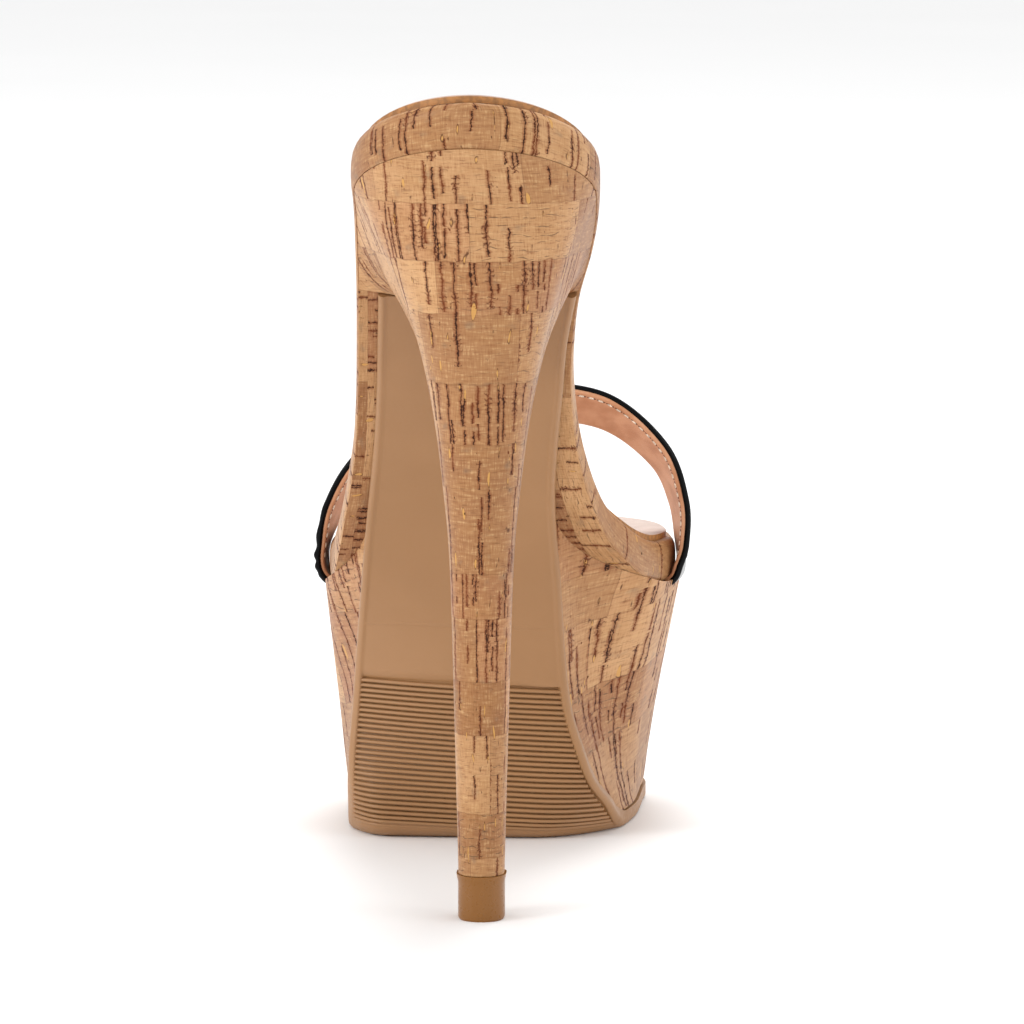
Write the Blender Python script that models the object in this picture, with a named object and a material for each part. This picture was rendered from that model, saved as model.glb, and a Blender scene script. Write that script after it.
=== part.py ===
"""A high platform mule sandal, left shoe: cork-wrapped platform, footbed and heel, one arched strap.

The shoe is drawn in millimetres with +Y toward the toe, +X toward the inner (medial) side and +Z
up, and the meshes are made in metres. One bent line, the bed, is the bottom of the last seen from
the side. Every piece takes its place from that line, from the outline table of the footbed and
from the sole line, which runs under the arch, down the rear face of the platform and under the toes.
"""
import math

import bmesh
import bpy
from mathutils import Vector

MM = 0.001

# Driving sizes of the last, in millimetres and degrees
HEEL_HEIGHT = 191.0
BALL_HEIGHT = 72.5
FOREFOOT_LENGTH = 84.0
BALL_WIDTH = 87.0
SEAT_LENGTH = 46.5
SEAT_ANGLE = 23.3
SHANK_ANGLE = 50.4
SEAT_BEND_RADIUS = 60.0
BALL_BEND_RADIUS = 47.0
TOE_FALL_ANGLE = 3.0

# Walls and clearances
GAP = 0.3
FOOTBED_THICKNESS = 10.0
FOOTBED_EDGE_ROUND = 2.2
HEEL_BACK_RAKE = 4.6
LINING_THICKNESS = 1.4
LINING_INSET = 2.4
SEAT_DISH = 1.2
PLATFORM_PROUD = 1.2
PLATFORM_FLARE = 36.0

# Rounded ends of the outlines, measured along the piece
SEAT_ROUND = 37.0
TOE_ROUND = 46.0
SOLE_TOE_ROUND = 42.0

# Sole
WAIST_THICKNESS = 2.0
TREAD_THICKNESS = 4.0
SOLE_EDGE_ROUND = 1.5
SOLE_LIP = 0.7
SOLE_BEHIND_BALL = 7.0
REAR_LEAN = 12.7
REAR_BEND_RADIUS = 40.0
GROUND_BEND_RADIUS = 7.0
SOLE_TOE_SETBACK = 5.0
TOE_SPRING_ANGLE = 15.5
TOE_SPRING_LENGTH = 28.0
TOE_BEND_RADIUS = 70.0
REAR_TURN_NEAR = 20.0
REAR_TURN_RADIUS = 132.0
REAR_TURN_TOP = 82.0
REAR_TURN_BLEND = 42.0
REAR_TURN_FOOT = 32.0
REAR_TURN_FADE = 25.0
REAR_TURN_LOST = 0.85

# Rounding of the sole's two rear corners near the ground: where it starts across, how far it
# reaches from there to the edge and how far the corner is set forward
CORNER_TOP = 26.0
MEDIAL_CORNER = (8.0, 27.0, 22.0)
LATERAL_CORNER = (28.0, 9.7, 13.0)

# Ribs across the rear face of the platform
RIB_PITCH = 1.33
RIB_COUNT = 26
RIB_DEPTH = 0.5
RIB_TOP = 42.0

# Heel
BREAST_AT = 78.0
NECK_DROP = 1.6
NECK_BACK = 4.3
NECK_SHARE = 0.882
NECK_HALF_WIDTH = 22.4
LIFT_HEIGHT = 10.6
LIFT_BACK = 20.0
LIFT_DEPTH = 11.4
LIFT_WIDTH = 10.8
LIFT_LIP = 0.35

# Strap
STRAP_WIDTH = 13.5
STRAP_WALL = 2.2
STRAP_TUCK = 7.0
STRAP_PAST_BALL = 22.0
STRAP_BULGE = 4.7
STRAP_HEIGHT = 50.0
SLOT_CLEARANCE = 0.6

# Outline of the footbed: share of its length, then the lateral and the medial edge as shares of
# the ball width, before the ends are rounded
BED_OUTLINE = [
    # along, lateral, medial
    (0.000, 0.345, 0.305),
    (0.167, 0.345, 0.310),
    (0.245, 0.348, 0.294),
    (0.319, 0.353, 0.250),
    (0.395, 0.362, 0.231),
    (0.450, 0.370, 0.230),
    (0.519, 0.386, 0.245),
    (0.583, 0.413, 0.279),
    (0.628, 0.437, 0.321),
    (0.671, 0.460, 0.385),
    (0.725, 0.482, 0.448),
    (0.790, 0.497, 0.500),
    (0.850, 0.492, 0.498),
    (1.000, 0.430, 0.505),
]

# Edges of the sole sheet: share of its length from the heel breast to the toe, then as above
SOLE_OUTLINE = [
    # along, lateral, medial
    (0.000, 0.290, 0.243),
    (0.067, 0.299, 0.215),
    (0.136, 0.309, 0.200),
    (0.207, 0.324, 0.184),
    (0.276, 0.344, 0.173),
    (0.320, 0.358, 0.175),
    (0.374, 0.374, 0.186),
    (0.456, 0.398, 0.198),
    (0.510, 0.411, 0.214),
    (0.551, 0.421, 0.244),
    (0.593, 0.428, 0.283),
    (0.622, 0.430, 0.329),
    (0.660, 0.434, 0.362),
    (0.700, 0.440, 0.392),
    (0.760, 0.450, 0.404),
    (0.830, 0.446, 0.412),
    (1.000, 0.390, 0.460),
]

# Heel sections from the lift up: back and front edge in the side view, with heights as shares of
# the heel's height, then half of the width
HEEL_ROWS = [
    # back_y, back_share, front_y, front_share, half_width, roundness
    (20.2, 0.2356, 32.8, 0.2356, 6.2, 0.50),
    (19.2, 0.4293, 36.4, 0.4241, 7.3, 0.48),
    (17.9, 0.5236, 40.0, 0.5157, 8.8, 0.46),
    (15.5, 0.6178, 44.6, 0.5995, 11.0, 0.44),
    (12.2, 0.7120, 49.4, 0.6675, 14.2, 0.42),
    (8.2, 0.8010, 51.4, 0.7047, 18.0, 0.40),
]

# The strap's rear edge, from the lateral seam over the foot to the medial seam: across as a share
# of half the span, up as a share of the arch height above the seam, how far the edge lies behind
# STRAP_REAR, the tilt of the band and how far its front edge is drawn in
STRAP_ROWS = [
    # across, up, back, tilt, draw_in
    (-0.988, 0.16, 0.0, 0.0, 1.1),
    (-0.948, 0.36, 0.5, 6.0, 3.6),
    (-0.800, 0.60, 2.0, 20.0, 3.6),
    (-0.500, 0.845, 4.5, 36.0, 2.4),
    (-0.110, 0.980, 7.0, 44.0, 0.8),
    (0.210, 1.000, 7.5, 45.0, -0.4),
    (0.600, 0.930, 6.0, 41.0, -1.8),
    (0.898, 0.680, 3.0, 26.0, -3.2),
    (1.007, 0.400, 0.8, 8.0, -3.4),
    (1.008, 0.180, 0.0, 0.0, -1.8),
]


def radians(*degrees):
    """Angles in radians."""
    return [math.radians(value) for value in degrees]


def lerp(a, b, share):
    """The point or number that lies a share of the way from a to b."""
    return a + (b - a) * share


def smooth(share):
    """A soft step from 0 to 1."""
    share = min(max(share, 0.0), 1.0)
    return share * share * (3.0 - 2.0 * share)


def through(keys, values, at):
    """A smooth curve through values (numbers or vectors) at rising keys, read at one place."""
    last = len(keys) - 1
    at = min(max(at, keys[0]), keys[last])
    k = next(i for i in range(last) if at <= keys[i + 1])

    def slope(i):
        low = max(i - 1, 0)
        high = min(i + 1, last)
        return (values[high] - values[low]) * (1.0 / (keys[high] - keys[low]))

    span = keys[k + 1] - keys[k]
    f = (at - keys[k]) / span
    start = values[k] * (2 * f**3 - 3 * f**2 + 1) + slope(k) * (span * (f**3 - 2 * f**2 + f))
    end = values[k + 1] * (3 * f**2 - 2 * f**3) + slope(k + 1) * (span * (f**3 - f**2))
    return start + end


def column(table, at, index):
    """One column of an outline table, read smoothly at a share of the length."""
    return through([row[0] for row in table], [row[index] for row in table], at)


def round_end(distance, length, power):
    """The share of full width left at a distance from a rounded end."""
    if distance >= length:
        return 1.0
    inside = (length - max(distance, 0.0)) / length
    return max(1.0 - inside**power, 0.0) ** (1.0 / power)


class SideLine:
    """A line in the side view (Y, Z) made of straight runs with an arc at each corner."""

    def __init__(self, corners, radii):
        self.runs = []
        self.length = 0.0
        corners = [Vector(corner) for corner in corners]
        headings = []
        for a, b in zip(corners, corners[1:]):
            headings.append(math.atan2(b.y - a.y, b.x - a.x))
        position = corners[0]
        for i, radius in enumerate(radii):
            turn = headings[i + 1] - headings[i]
            tangent = radius * math.tan(abs(turn) / 2)
            straight = (corners[i + 1] - position).length - tangent
            self.add(position, headings[i], 0.0, straight)
            start, _ = self.at(self.length)
            self.add(start, headings[i], math.copysign(1 / radius, turn), radius * abs(turn))
            position, _ = self.at(self.length)
        self.add(position, headings[-1], 0.0, (corners[-1] - position).length)

    def add(self, start, heading, curvature, length):
        self.runs.append((self.length, start, heading, curvature))
        self.length += length

    def at(self, s):
        """The point and the heading at a distance along the line."""
        begin, start, heading, curvature = next(
            (run for run in reversed(self.runs) if run[0] <= s), self.runs[0])
        ahead = s - begin
        if curvature == 0.0:
            return start + Vector((math.cos(heading), math.sin(heading))) * ahead, heading
        end = heading + curvature * ahead
        step = Vector((math.sin(end) - math.sin(heading), math.cos(heading) - math.cos(end)))
        return start + step / curvature, end

    def below(self, s, depth):
        """The point at a depth under the line, measured square to it."""
        point, heading = self.at(s)
        return point + Vector((math.sin(heading), -math.cos(heading))) * depth


def crossing(p, p_angle, q, q_angle):
    """Where two straight lines in the side view cross."""
    along_p = Vector((math.cos(p_angle), math.sin(p_angle)))
    along_q = Vector((math.cos(q_angle), math.sin(q_angle)))
    between = q - p
    wedge = along_p.x * along_q.y - along_p.y * along_q.x
    reach = (between.x * along_q.y - between.y * along_q.x) / wedge
    return p + along_p * reach


SEAT_FRONT = HEEL_HEIGHT - SEAT_LENGTH * math.tan(math.radians(SEAT_ANGLE))
BALL_AT = SEAT_LENGTH + (SEAT_FRONT - BALL_HEIGHT) / math.tan(math.radians(SHANK_ANGLE))
SHOE_LENGTH = BALL_AT + FOREFOOT_LENGTH
SOLE_REAR = BALL_AT - SOLE_BEHIND_BALL
STRAP_REAR = BALL_AT + STRAP_PAST_BALL


def bed_line():
    """The top of the footbed from the heel rim to the toe, seen from the side."""
    toe_height = BALL_HEIGHT - FOREFOOT_LENGTH * math.tan(math.radians(TOE_FALL_ANGLE))
    corners = [(0.0, HEEL_HEIGHT), (SEAT_LENGTH, SEAT_FRONT), (BALL_AT, BALL_HEIGHT),
               (SHOE_LENGTH, toe_height)]
    return SideLine(corners, [SEAT_BEND_RADIUS, BALL_BEND_RADIUS])


BED = bed_line()
BED_UNDER = FOOTBED_THICKNESS + GAP


def sole_line():
    """The outer face of the sole from the heel breast to the toe, seen from the side."""
    shank, lean, toe = radians(-SHANK_ANGLE, REAR_LEAN, TOE_SPRING_ANGLE)
    breast = BED.below(BREAST_AT + 2 * GAP, BED_UNDER + WAIST_THICKNESS)
    ground = Vector((SOLE_REAR, 0.0))
    leaves = crossing(breast, shank, ground, math.pi / 2 + lean)
    spring = Vector((SHOE_LENGTH - TOE_SPRING_LENGTH, 0.0))
    ahead = TOE_SPRING_LENGTH - SOLE_TOE_SETBACK
    tip = spring + Vector((ahead, ahead * math.tan(toe)))
    return SideLine([breast, leaves, ground, spring, tip],
                    [REAR_BEND_RADIUS, GROUND_BEND_RADIUS, TOE_BEND_RADIUS])


SOLE = sole_line()
# Places along the sole line: where its rear bend starts and where it turns onto the ground
LEAVES_BED = SOLE.runs[1][0]
GROUND_TURN_START = SOLE.runs[3][0]
GROUND_TURN_END = SOLE.runs[4][0]


def bed_point(s, x, depth):
    """A point of the footbed: along its top line, across, and at a depth under its top face."""
    raked = s
    if s < SEAT_ROUND + HEEL_BACK_RAKE:
        raked += HEEL_BACK_RAKE * (depth / FOOTBED_THICKNESS) * (1 - s / (SEAT_ROUND + HEEL_BACK_RAKE))**2
    side = BED.below(raked, depth)
    return Vector((x, side.x, side.y))


def bed_edges(s, inset=0.0):
    """The lateral and medial edge of the footbed at a distance along it, drawn in by an inset."""
    share = s / BED.length
    lateral = -column(BED_OUTLINE, share, 1) * BALL_WIDTH
    medial = column(BED_OUTLINE, share, 2) * BALL_WIDTH
    middle = (lateral + medial) / 2
    cap = round_end(s - inset, SEAT_ROUND, 2.0) * round_end(BED.length - inset - s, TOE_ROUND, 2.3)
    half = max((medial - lateral) / 2 - inset, 0.0) * cap
    return middle - half, middle + half


def sole_edges(s, inset=0.0):
    """The lateral and medial edge of the sole sheet at a distance along it."""
    share = s / SOLE.length
    lateral = -column(SOLE_OUTLINE, share, 1) * BALL_WIDTH
    medial = column(SOLE_OUTLINE, share, 2) * BALL_WIDTH
    middle = (lateral + medial) / 2
    half = ((medial - lateral) / 2 - inset) * round_end(SOLE.length - inset - s, SOLE_TOE_ROUND, 2.3)
    return middle - half, middle + half


def sole_point(s, x, inward):
    """A point of the sole sheet: along its outer face, across, and inward from that face."""
    side = SOLE.below(s, -inward)
    turned = (REAR_TURN_NEAR - x)**2 / (2 * REAR_TURN_RADIUS)
    turned *= smooth((REAR_TURN_TOP - side.y) / REAR_TURN_BLEND)
    turned *= 1 - REAR_TURN_LOST * smooth((REAR_TURN_FOOT - side.y) / REAR_TURN_FADE)
    for across, (start, width, depth) in ((x, MEDIAL_CORNER), (-x, LATERAL_CORNER)):
        reach = min(max((across - start) / width, 0.0), 1.2)
        turned += depth * reach * reach * smooth((CORNER_TOP - side.y) / CORNER_TOP)
    ahead = smooth((s - GROUND_TURN_END) / (SOLE.length - GROUND_TURN_END))
    return Vector((x, side.x + turned * (1 - ahead), side.y))


# Stations across the sole sheet, and across the block that it wraps, as shares of the width
SOLE_COLUMNS = [0.0, 0.035, 0.07, 0.11, 0.3, 0.5, 0.64, 0.75, 0.84, 0.91, 0.96, 1.0]


def sole_thickness(s):
    """The sheet is thin under the arch and thick under the forefoot."""
    return lerp(WAIST_THICKNESS, TREAD_THICKNESS,
                smooth((s - LEAVES_BED) / (GROUND_TURN_START - LEAVES_BED)))


def spaced(start, end, step):
    """Evenly spaced places from start to end, no further apart than the step."""
    count = max(1, math.ceil((end - start) / step))
    return [lerp(start, end, i / count) for i in range(count + 1)]


def end_spaced(length, count):
    """Places along a rounded end, close together at its tip."""
    return [length * (1 - math.cos(math.pi / 2 * i / count)) for i in range(count)]


def along_bed(inset, step):
    """Stations along the footbed, from the rounded heel to the rounded toe."""
    heel = [inset + place for place in end_spaced(SEAT_ROUND, 6)]
    toe = [BED.length - inset - place for place in end_spaced(TOE_ROUND, 8)]
    middle = spaced(inset + SEAT_ROUND, BED.length - inset - TOE_ROUND, step)
    return heel + middle + toe[::-1]


def material(name, colour, roughness, metallic=0.0, coat=0.0):
    """A plain finish with the colour and gloss of the real one."""
    finish = bpy.data.materials.new(name)
    finish.use_nodes = True
    shader = finish.node_tree.nodes["Principled BSDF"]
    shader.inputs["Base Color"].default_value = (*colour, 1.0)
    shader.inputs["Roughness"].default_value = roughness
    shader.inputs["Metallic"].default_value = metallic
    shader.inputs["Coat Weight"].default_value = coat
    return finish


def mapped_block(name, finish, us, ts, hs, place):
    """A closed body: the six faces of a box of stations, each point put in place by a function."""
    shell = bmesh.new()
    made = {}

    def vertex(i, j, k):
        if (i, j, k) not in made:
            made[i, j, k] = shell.verts.new(place(us[i], ts[j], hs[k]) * MM)
        return made[i, j, k]

    def sheet(count_a, count_b, index):
        for a in range(count_a - 1):
            for b in range(count_b - 1):
                corners = [(a, b), (a + 1, b), (a + 1, b + 1), (a, b + 1)]
                shell.faces.new([vertex(*index(*corner)) for corner in corners])

    for k in (0, len(hs) - 1):
        sheet(len(us), len(ts), lambda a, b, k=k: (a, b, k))
    for j in (0, len(ts) - 1):
        sheet(len(us), len(hs), lambda a, b, j=j: (a, j, b))
    for i in (0, len(us) - 1):
        sheet(len(ts), len(hs), lambda a, b, i=i: (i, a, b))
    bmesh.ops.remove_doubles(shell, verts=shell.verts, dist=0.002 * MM)
    bmesh.ops.dissolve_degenerate(shell, dist=0.002 * MM, edges=shell.edges)
    bmesh.ops.triangulate(shell, faces=shell.faces)
    bmesh.ops.recalc_face_normals(shell, faces=shell.faces)
    mesh = bpy.data.meshes.new(name)
    shell.to_mesh(mesh)
    shell.free()
    mesh.materials.append(finish)
    mesh.shade_smooth()
    mesh.set_sharp_from_angle(angle=math.radians(40))
    body = bpy.data.objects.new(name, mesh)
    bpy.context.scene.collection.objects.link(body)
    return body


def dish(s, x):
    """How far the footbed's top is hollowed at one place, nothing at its rim."""
    lateral, medial = bed_edges(s, FOOTBED_EDGE_ROUND)
    half = max((medial - lateral) / 2, 1.0)
    reach = min(abs(x - (lateral + medial) / 2) / half, 1.0)
    return SEAT_DISH * (1 - reach * reach) * smooth(min(s, BED.length - s) / SEAT_ROUND)


def footbed(cork):
    """The cork-wrapped insole board: a bent slab with rounded edges and a slightly dished top."""
    def place(s, t, h):
        away = abs(2 * h - 1)
        inset = FOOTBED_EDGE_ROUND * (1 - math.sqrt(1 - away**3)) * (1 - 0.35 * (1 - h))
        lateral, medial = bed_edges(s)
        drawn = min(inset, 0.3 * (medial - lateral))
        x = lerp(lateral + drawn, medial - drawn, (t + 1) / 2)
        ahead = max(0.0, 1 - s / SEAT_ROUND) - max(0.0, 1 - (BED.length - s) / SEAT_ROUND)
        s += inset * ahead
        return bed_point(s, x, FOOTBED_THICKNESS * (1 - h) + h * dish(s, x))

    return mapped_block("footbed", cork, along_bed(0.0, 6.5), [-1, -0.7, -0.25, 0.25, 0.7, 1],
                        [0, 0.1, 0.35, 0.65, 0.9, 1], place)


def sock_lining(lining):
    """The thin sheet that the foot stands on, inside the rim of the footbed."""
    def place(s, t, h):
        lateral, medial = bed_edges(s, LINING_INSET)
        x = lerp(lateral, medial, (t + 1) / 2)
        return bed_point(s, x, dish(s, x) - GAP - LINING_THICKNESS * h)

    return mapped_block("sock_lining", lining, along_bed(LINING_INSET, 6.5),
                        [-1, -0.7, -0.25, 0.25, 0.7, 1], [0, 1], place)


def rib_stations():
    """Stations down the ribbed field as pairs: distance along the sole, groove depth."""
    top = GROUND_TURN_START - (RIB_TOP - GROUND_BEND_RADIUS)
    rows = []
    for k in range(RIB_COUNT):
        rows.append((top + k * RIB_PITCH, 0.0))
        rows.append((top + (k + 0.28) * RIB_PITCH, RIB_DEPTH))
        rows.append((top + (k + 0.56) * RIB_PITCH, 0.0))
    return rows


def outsole(rubber):
    """One long sheet: waist under the arch, ribbed rear face, tread under the forefoot."""
    ribs = rib_stations()
    first, last = ribs[0][0], ribs[-1][0]
    rows = [(s, 0.0) for s in spaced(0.0, LEAVES_BED, 14.0)]
    rows += [(s, 0.0) for s in spaced(LEAVES_BED, first, 5.0)[1:-1]] + ribs
    rows += [(s, 0.0) for s in spaced(last, GROUND_TURN_END, 2.2)[1:]]
    rows += [(s, 0.0) for s in spaced(GROUND_TURN_END, SOLE.length - SOLE_TOE_ROUND, 7.0)[1:]]
    rows += [(SOLE.length - place, 0.0) for place in end_spaced(SOLE_TOE_ROUND, 8)[::-1]]
    columns = SOLE_COLUMNS

    def place(row, across, h):
        s, groove = row
        inset = SOLE_EDGE_ROUND * (1 - math.sqrt(1 - (1 - h)**2)) if h < 1 else 0.0
        lateral, medial = sole_edges(s)
        inset = min(inset, 0.4 * (medial - lateral))
        x = lerp(lateral + inset, medial - inset, across)
        ribbed = 1.0 if 0.08 < across < 0.92 else 0.0
        inward = sole_thickness(s) * h + groove * ribbed * (1 - h)
        return sole_point(s, x, inward)

    return mapped_block("outsole", rubber, rows, columns, [0, 0.35, 1], place)


def platform(cork):
    """The block between the footbed and the sole, with side walls drawn in toward the ground."""
    corner = (GROUND_TURN_START + GROUND_TURN_END) / 2
    tip = LEAVES_BED + math.sqrt(2 * REAR_BEND_RADIUS * 1.3)
    tip_side = SOLE.below(tip, -sole_thickness(tip) - GAP)
    top_rear = min((abs(BED.below(s, BED_UNDER).y - tip_side.y - 1.0), s)
                   for s in spaced(BREAST_AT, BED.length * 0.75, 0.25))[1]

    def wall_inward(s):
        return sole_thickness(s) + GAP

    def top(u, t):
        s = lerp(top_rear, BED.length, u)
        lateral, medial = bed_edges(s)
        proud = PLATFORM_PROUD * round_end(BED.length - s, TOE_ROUND, 2.3)
        flared = smooth((s - top_rear) / PLATFORM_FLARE)
        rear_lateral, rear_medial = sole_edges(tip, SOLE_LIP)
        lateral = lerp(rear_lateral, lateral - proud, flared)
        medial = lerp(rear_medial, medial + proud, flared)
        return bed_point(s, lerp(lateral, medial, (t + 1) / 2), BED_UNDER)

    def bottom(u, t):
        s = lerp(corner, SOLE.length - SOLE_LIP, u)
        lateral, medial = sole_edges(s, SOLE_LIP)
        return sole_point(s, lerp(lateral, medial, (t + 1) / 2), wall_inward(s))

    def rear(t, h):
        s = lerp(corner, tip, h)
        lateral, medial = sole_edges(s, SOLE_LIP)
        return sole_point(s, lerp(lateral, medial, (t + 1) / 2), wall_inward(s))

    def place(u, t, h):
        straight = lerp(bottom(u, t), top(u, t), h)
        edge = lerp(bottom(0, t), top(0, t), h)
        bend = rear(t, h) - edge
        if h in (0, 1):
            bend = Vector((0, 0, 0))
        return straight + bend * (1 - u)**3

    toe = [1 - 0.42 * (1 - math.cos(math.pi / 2 * i / 9)) for i in range(9)]
    us = [0.0, 0.02, 0.05] + spaced(0.1, 0.5, 0.08) + toe[::-1]
    ts = [2 * column - 1 for column in SOLE_COLUMNS]
    hs = spaced(0, 0.6, 0.04) + spaced(0.6, 1, 0.1)[1:]
    return mapped_block("platform", cork, us, ts, hs, place)


def heel_section(row, q, t):
    """A point of one heel section: q from its back to its front, t from side to side."""
    back_y, back_share, front_y, front_share, half, roundness = row
    width = half * round_end(q, roundness, 2.1)
    front = max(0.0, (q - 0.7) / 0.3)
    width *= 1 - 0.32 * front**2.2 * roundness / 0.5
    drift = (bed_edges(BREAST_AT)[0] + bed_edges(BREAST_AT)[1]) / 2
    x = drift * smooth((half - LIFT_WIDTH) / SEAT_ROUND) + t * width
    return Vector((x, lerp(back_y, front_y, q), lerp(back_share, front_share, q) * HEEL_HEIGHT))


def lift_row(height, extra):
    """The section of the lift at one height."""
    share = height / HEEL_HEIGHT
    return (LIFT_BACK - extra, share, LIFT_BACK + LIFT_DEPTH + extra, share,
            LIFT_WIDTH / 2 + extra, 0.5)


def heel(cork):
    """The slim heel: a column that opens in a curve to the outline of the seat."""
    breast = BED.below(BREAST_AT - GAP, BED_UNDER + WAIST_THICKNESS + NECK_DROP)
    neck = (NECK_BACK, NECK_SHARE, breast.x, breast.y / HEEL_HEIGHT, NECK_HALF_WIDTH, 0.37)
    rows = [lift_row(LIFT_HEIGHT + GAP, -0.1)] + HEEL_ROWS + [neck]
    keys = list(range(len(rows) + 1))

    def seat_point(q, t):
        s = q * BREAST_AT
        lateral, medial = bed_edges(s, 0.0)
        inset = min(0.9, 0.3 * (medial - lateral))
        return bed_point(s, lerp(lateral + inset, medial - inset, (t + 1) / 2), BED_UNDER)

    def place(q, t, level):
        points = [heel_section(row, q, t) for row in rows] + [seat_point(q, t)]
        return through(keys, points, level)

    qs = [1 - math.cos(math.pi / 2 * i / 6) for i in range(6)]
    qs = [0.42 * q for q in qs] + spaced(0.42, 1.0, 0.1)
    levels = spaced(0, 2, 0.5) + spaced(2, len(rows), 0.5)[1:]
    return mapped_block("heel", cork, qs, [-1, -0.6, 0, 0.6, 1], levels, place)


def heel_lift(rubber):
    """The top piece that the heel stands on, with a small lip where it meets the heel."""
    def place(q, t, h):
        lip = LIFT_LIP * smooth((h - 0.8) / 0.2)
        return heel_section(lift_row(LIFT_HEIGHT * h, lip), q, t)

    qs = [0.5 * (1 - math.cos(math.pi / 2 * i / 6)) for i in range(6)] + spaced(0.5, 1.0, 0.1)
    return mapped_block("heel_lift", rubber, qs, [-1, -0.5, 0, 0.5, 1],
                        [0, 0.5, 0.8, 0.9, 1], place)


def bed_at(y):
    """The distance along the footbed whose top lies at one Y."""
    low, high = 0.0, BED.length
    for _ in range(40):
        middle = (low + high) / 2
        if BED.at(middle)[0].x < y:
            low = middle
        else:
            high = middle
    return low


def strap_rails():
    """The middle of the strap's wall along its rear and its front edge, as two lists of points."""
    seam = BED.below(bed_at(STRAP_REAR), FOOTBED_THICKNESS).y
    lateral, medial = bed_edges(bed_at(STRAP_REAR))
    half_span = (medial - lateral) / 2 + STRAP_BULGE - STRAP_WALL / 2
    rear = []
    front = []
    for across, up, back, tilt, draw_in in STRAP_ROWS:
        angle = math.radians(tilt)
        start = Vector((across * half_span, STRAP_REAR - back, seam + up * STRAP_HEIGHT))
        reach = Vector((0, math.cos(angle), -math.sin(angle))) * STRAP_WIDTH
        rear.append(start)
        front.append(start + reach + Vector((draw_in, 0, 0)))
    for side in (0, 1):
        sign = 1 if side else -1
        for rail, y, flare in ((rear, STRAP_REAR, 0.7), (front, STRAP_REAR + STRAP_WIDTH, -0.4)):
            edge = bed_edges(bed_at(y))[side]
            seam = BED.below(bed_at(y), FOOTBED_THICKNESS).y
            level = seam - GAP - STRAP_WALL / 2
            wall = edge + sign * (3 * GAP + STRAP_WALL / 2)
            turn = wall - sign * (0.95 - flare / 2)
            tuck = [Vector((wall + sign * flare, y, seam + 3.2)), Vector((turn, y, seam + 0.2)),
                    Vector((wall - sign * 3.2, y, level)), Vector((wall - sign * STRAP_TUCK, y, level))]
            if side:
                rail.extend(tuck)
            else:
                rail[0:0] = tuck[::-1]
    return rear, front


def strap_point(rails, u, v):
    """A point in the middle of the strap's wall, u along it and v from its rear to its front."""
    keys = list(range(len(rails[0])))
    return lerp(through(keys, rails[0], u), through(keys, rails[1], u), v)


def vamp_strap(patent):
    """The upper: one arched band with a real wall, tucked in between footbed and platform."""
    rails = strap_rails()
    last = len(rails[0]) - 1
    small = 0.02

    def place(u, v, h):
        before = strap_point(rails, max(u - small, 0), v)
        after = strap_point(rails, min(u + small, last), v)
        across = strap_point(rails, u, 1) - strap_point(rails, u, 0)
        outward = across.cross(after - before).normalized()
        return strap_point(rails, u, v) + outward * (STRAP_WALL * (h - 0.5))

    us = spaced(0, 4, 0.34) + spaced(4, last - 4, 0.34)[1:] + spaced(last - 4, last, 0.34)[1:]
    return mapped_block("vamp_strap", patent, us, [0, 0.33, 0.67, 1], [0, 1], place)


def cut_slots(block):
    """Shallow slots in the top of the platform for the two ends of the strap."""
    middle = STRAP_REAR + STRAP_WIDTH / 2
    seam = BED.below(bed_at(middle), BED_UNDER).y
    depth = STRAP_WALL + SLOT_CLEARANCE + STRAP_WIDTH / 2 * math.tan(math.radians(TOE_FALL_ANGLE))
    for side, name in ((0, "slot_lateral"), (1, "slot_medial")):
        edge = bed_edges(bed_at(middle))[side]
        sign = 1 if side else -1
        inner = edge - sign * (STRAP_TUCK + 2.0)
        outer = edge + sign * 8.0
        size = Vector((abs(outer - inner), STRAP_WIDTH + 2 * SLOT_CLEARANCE, 2 * depth))
        centre = Vector(((inner + outer) / 2, middle, seam))
        cutter_mesh = bpy.data.meshes.new(name)
        box = bmesh.new()
        bmesh.ops.create_cube(box, size=1.0)
        bmesh.ops.scale(box, vec=size * MM, verts=box.verts)
        box.to_mesh(cutter_mesh)
        box.free()
        cutter = bpy.data.objects.new(name, cutter_mesh)
        cutter.location = centre * MM
        cutter.hide_render = True
        cutter.display_type = "WIRE"
        bpy.context.scene.collection.objects.link(cutter)
        cut = block.modifiers.new(name, "BOOLEAN")
        cut.operation = "DIFFERENCE"
        cut.object = cutter
        cutter.parent = block.parent


def stand(bodies):
    """Stand the shoe so that the origin is under the middle of its box."""
    corners = [vertex.co for body in bodies for vertex in body.data.vertices]
    low = [min(corner[axis] for corner in corners) for axis in range(3)]
    high = [max(corner[axis] for corner in corners) for axis in range(3)]
    shoe = bpy.data.objects.new("left_shoe", None)
    bpy.context.scene.collection.objects.link(shoe)
    shoe.location = (-(low[0] + high[0]) / 2, -(low[1] + high[1]) / 2, -low[2])
    for body in bodies:
        body.parent = shoe


def main():
    for leftover in list(bpy.data.objects):
        bpy.data.objects.remove(leftover)
    cork = material("cork_wrap", (0.52, 0.31, 0.17), 0.55)
    rubber = material("sole_rubber", (0.40, 0.22, 0.11), 0.42)
    lift_rubber = material("lift_rubber", (0.36, 0.19, 0.07), 0.4)
    patent = material("patent_leather", (0.01, 0.01, 0.012), 0.12, coat=0.8)
    lining = material("nude_lining", (0.74, 0.56, 0.48), 0.5)
    block = platform(cork)
    bodies = [block, footbed(cork), sock_lining(lining), outsole(rubber), heel(cork),
              heel_lift(lift_rubber), vamp_strap(patent)]
    stand(bodies)
    cut_slots(block)


main()
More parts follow.
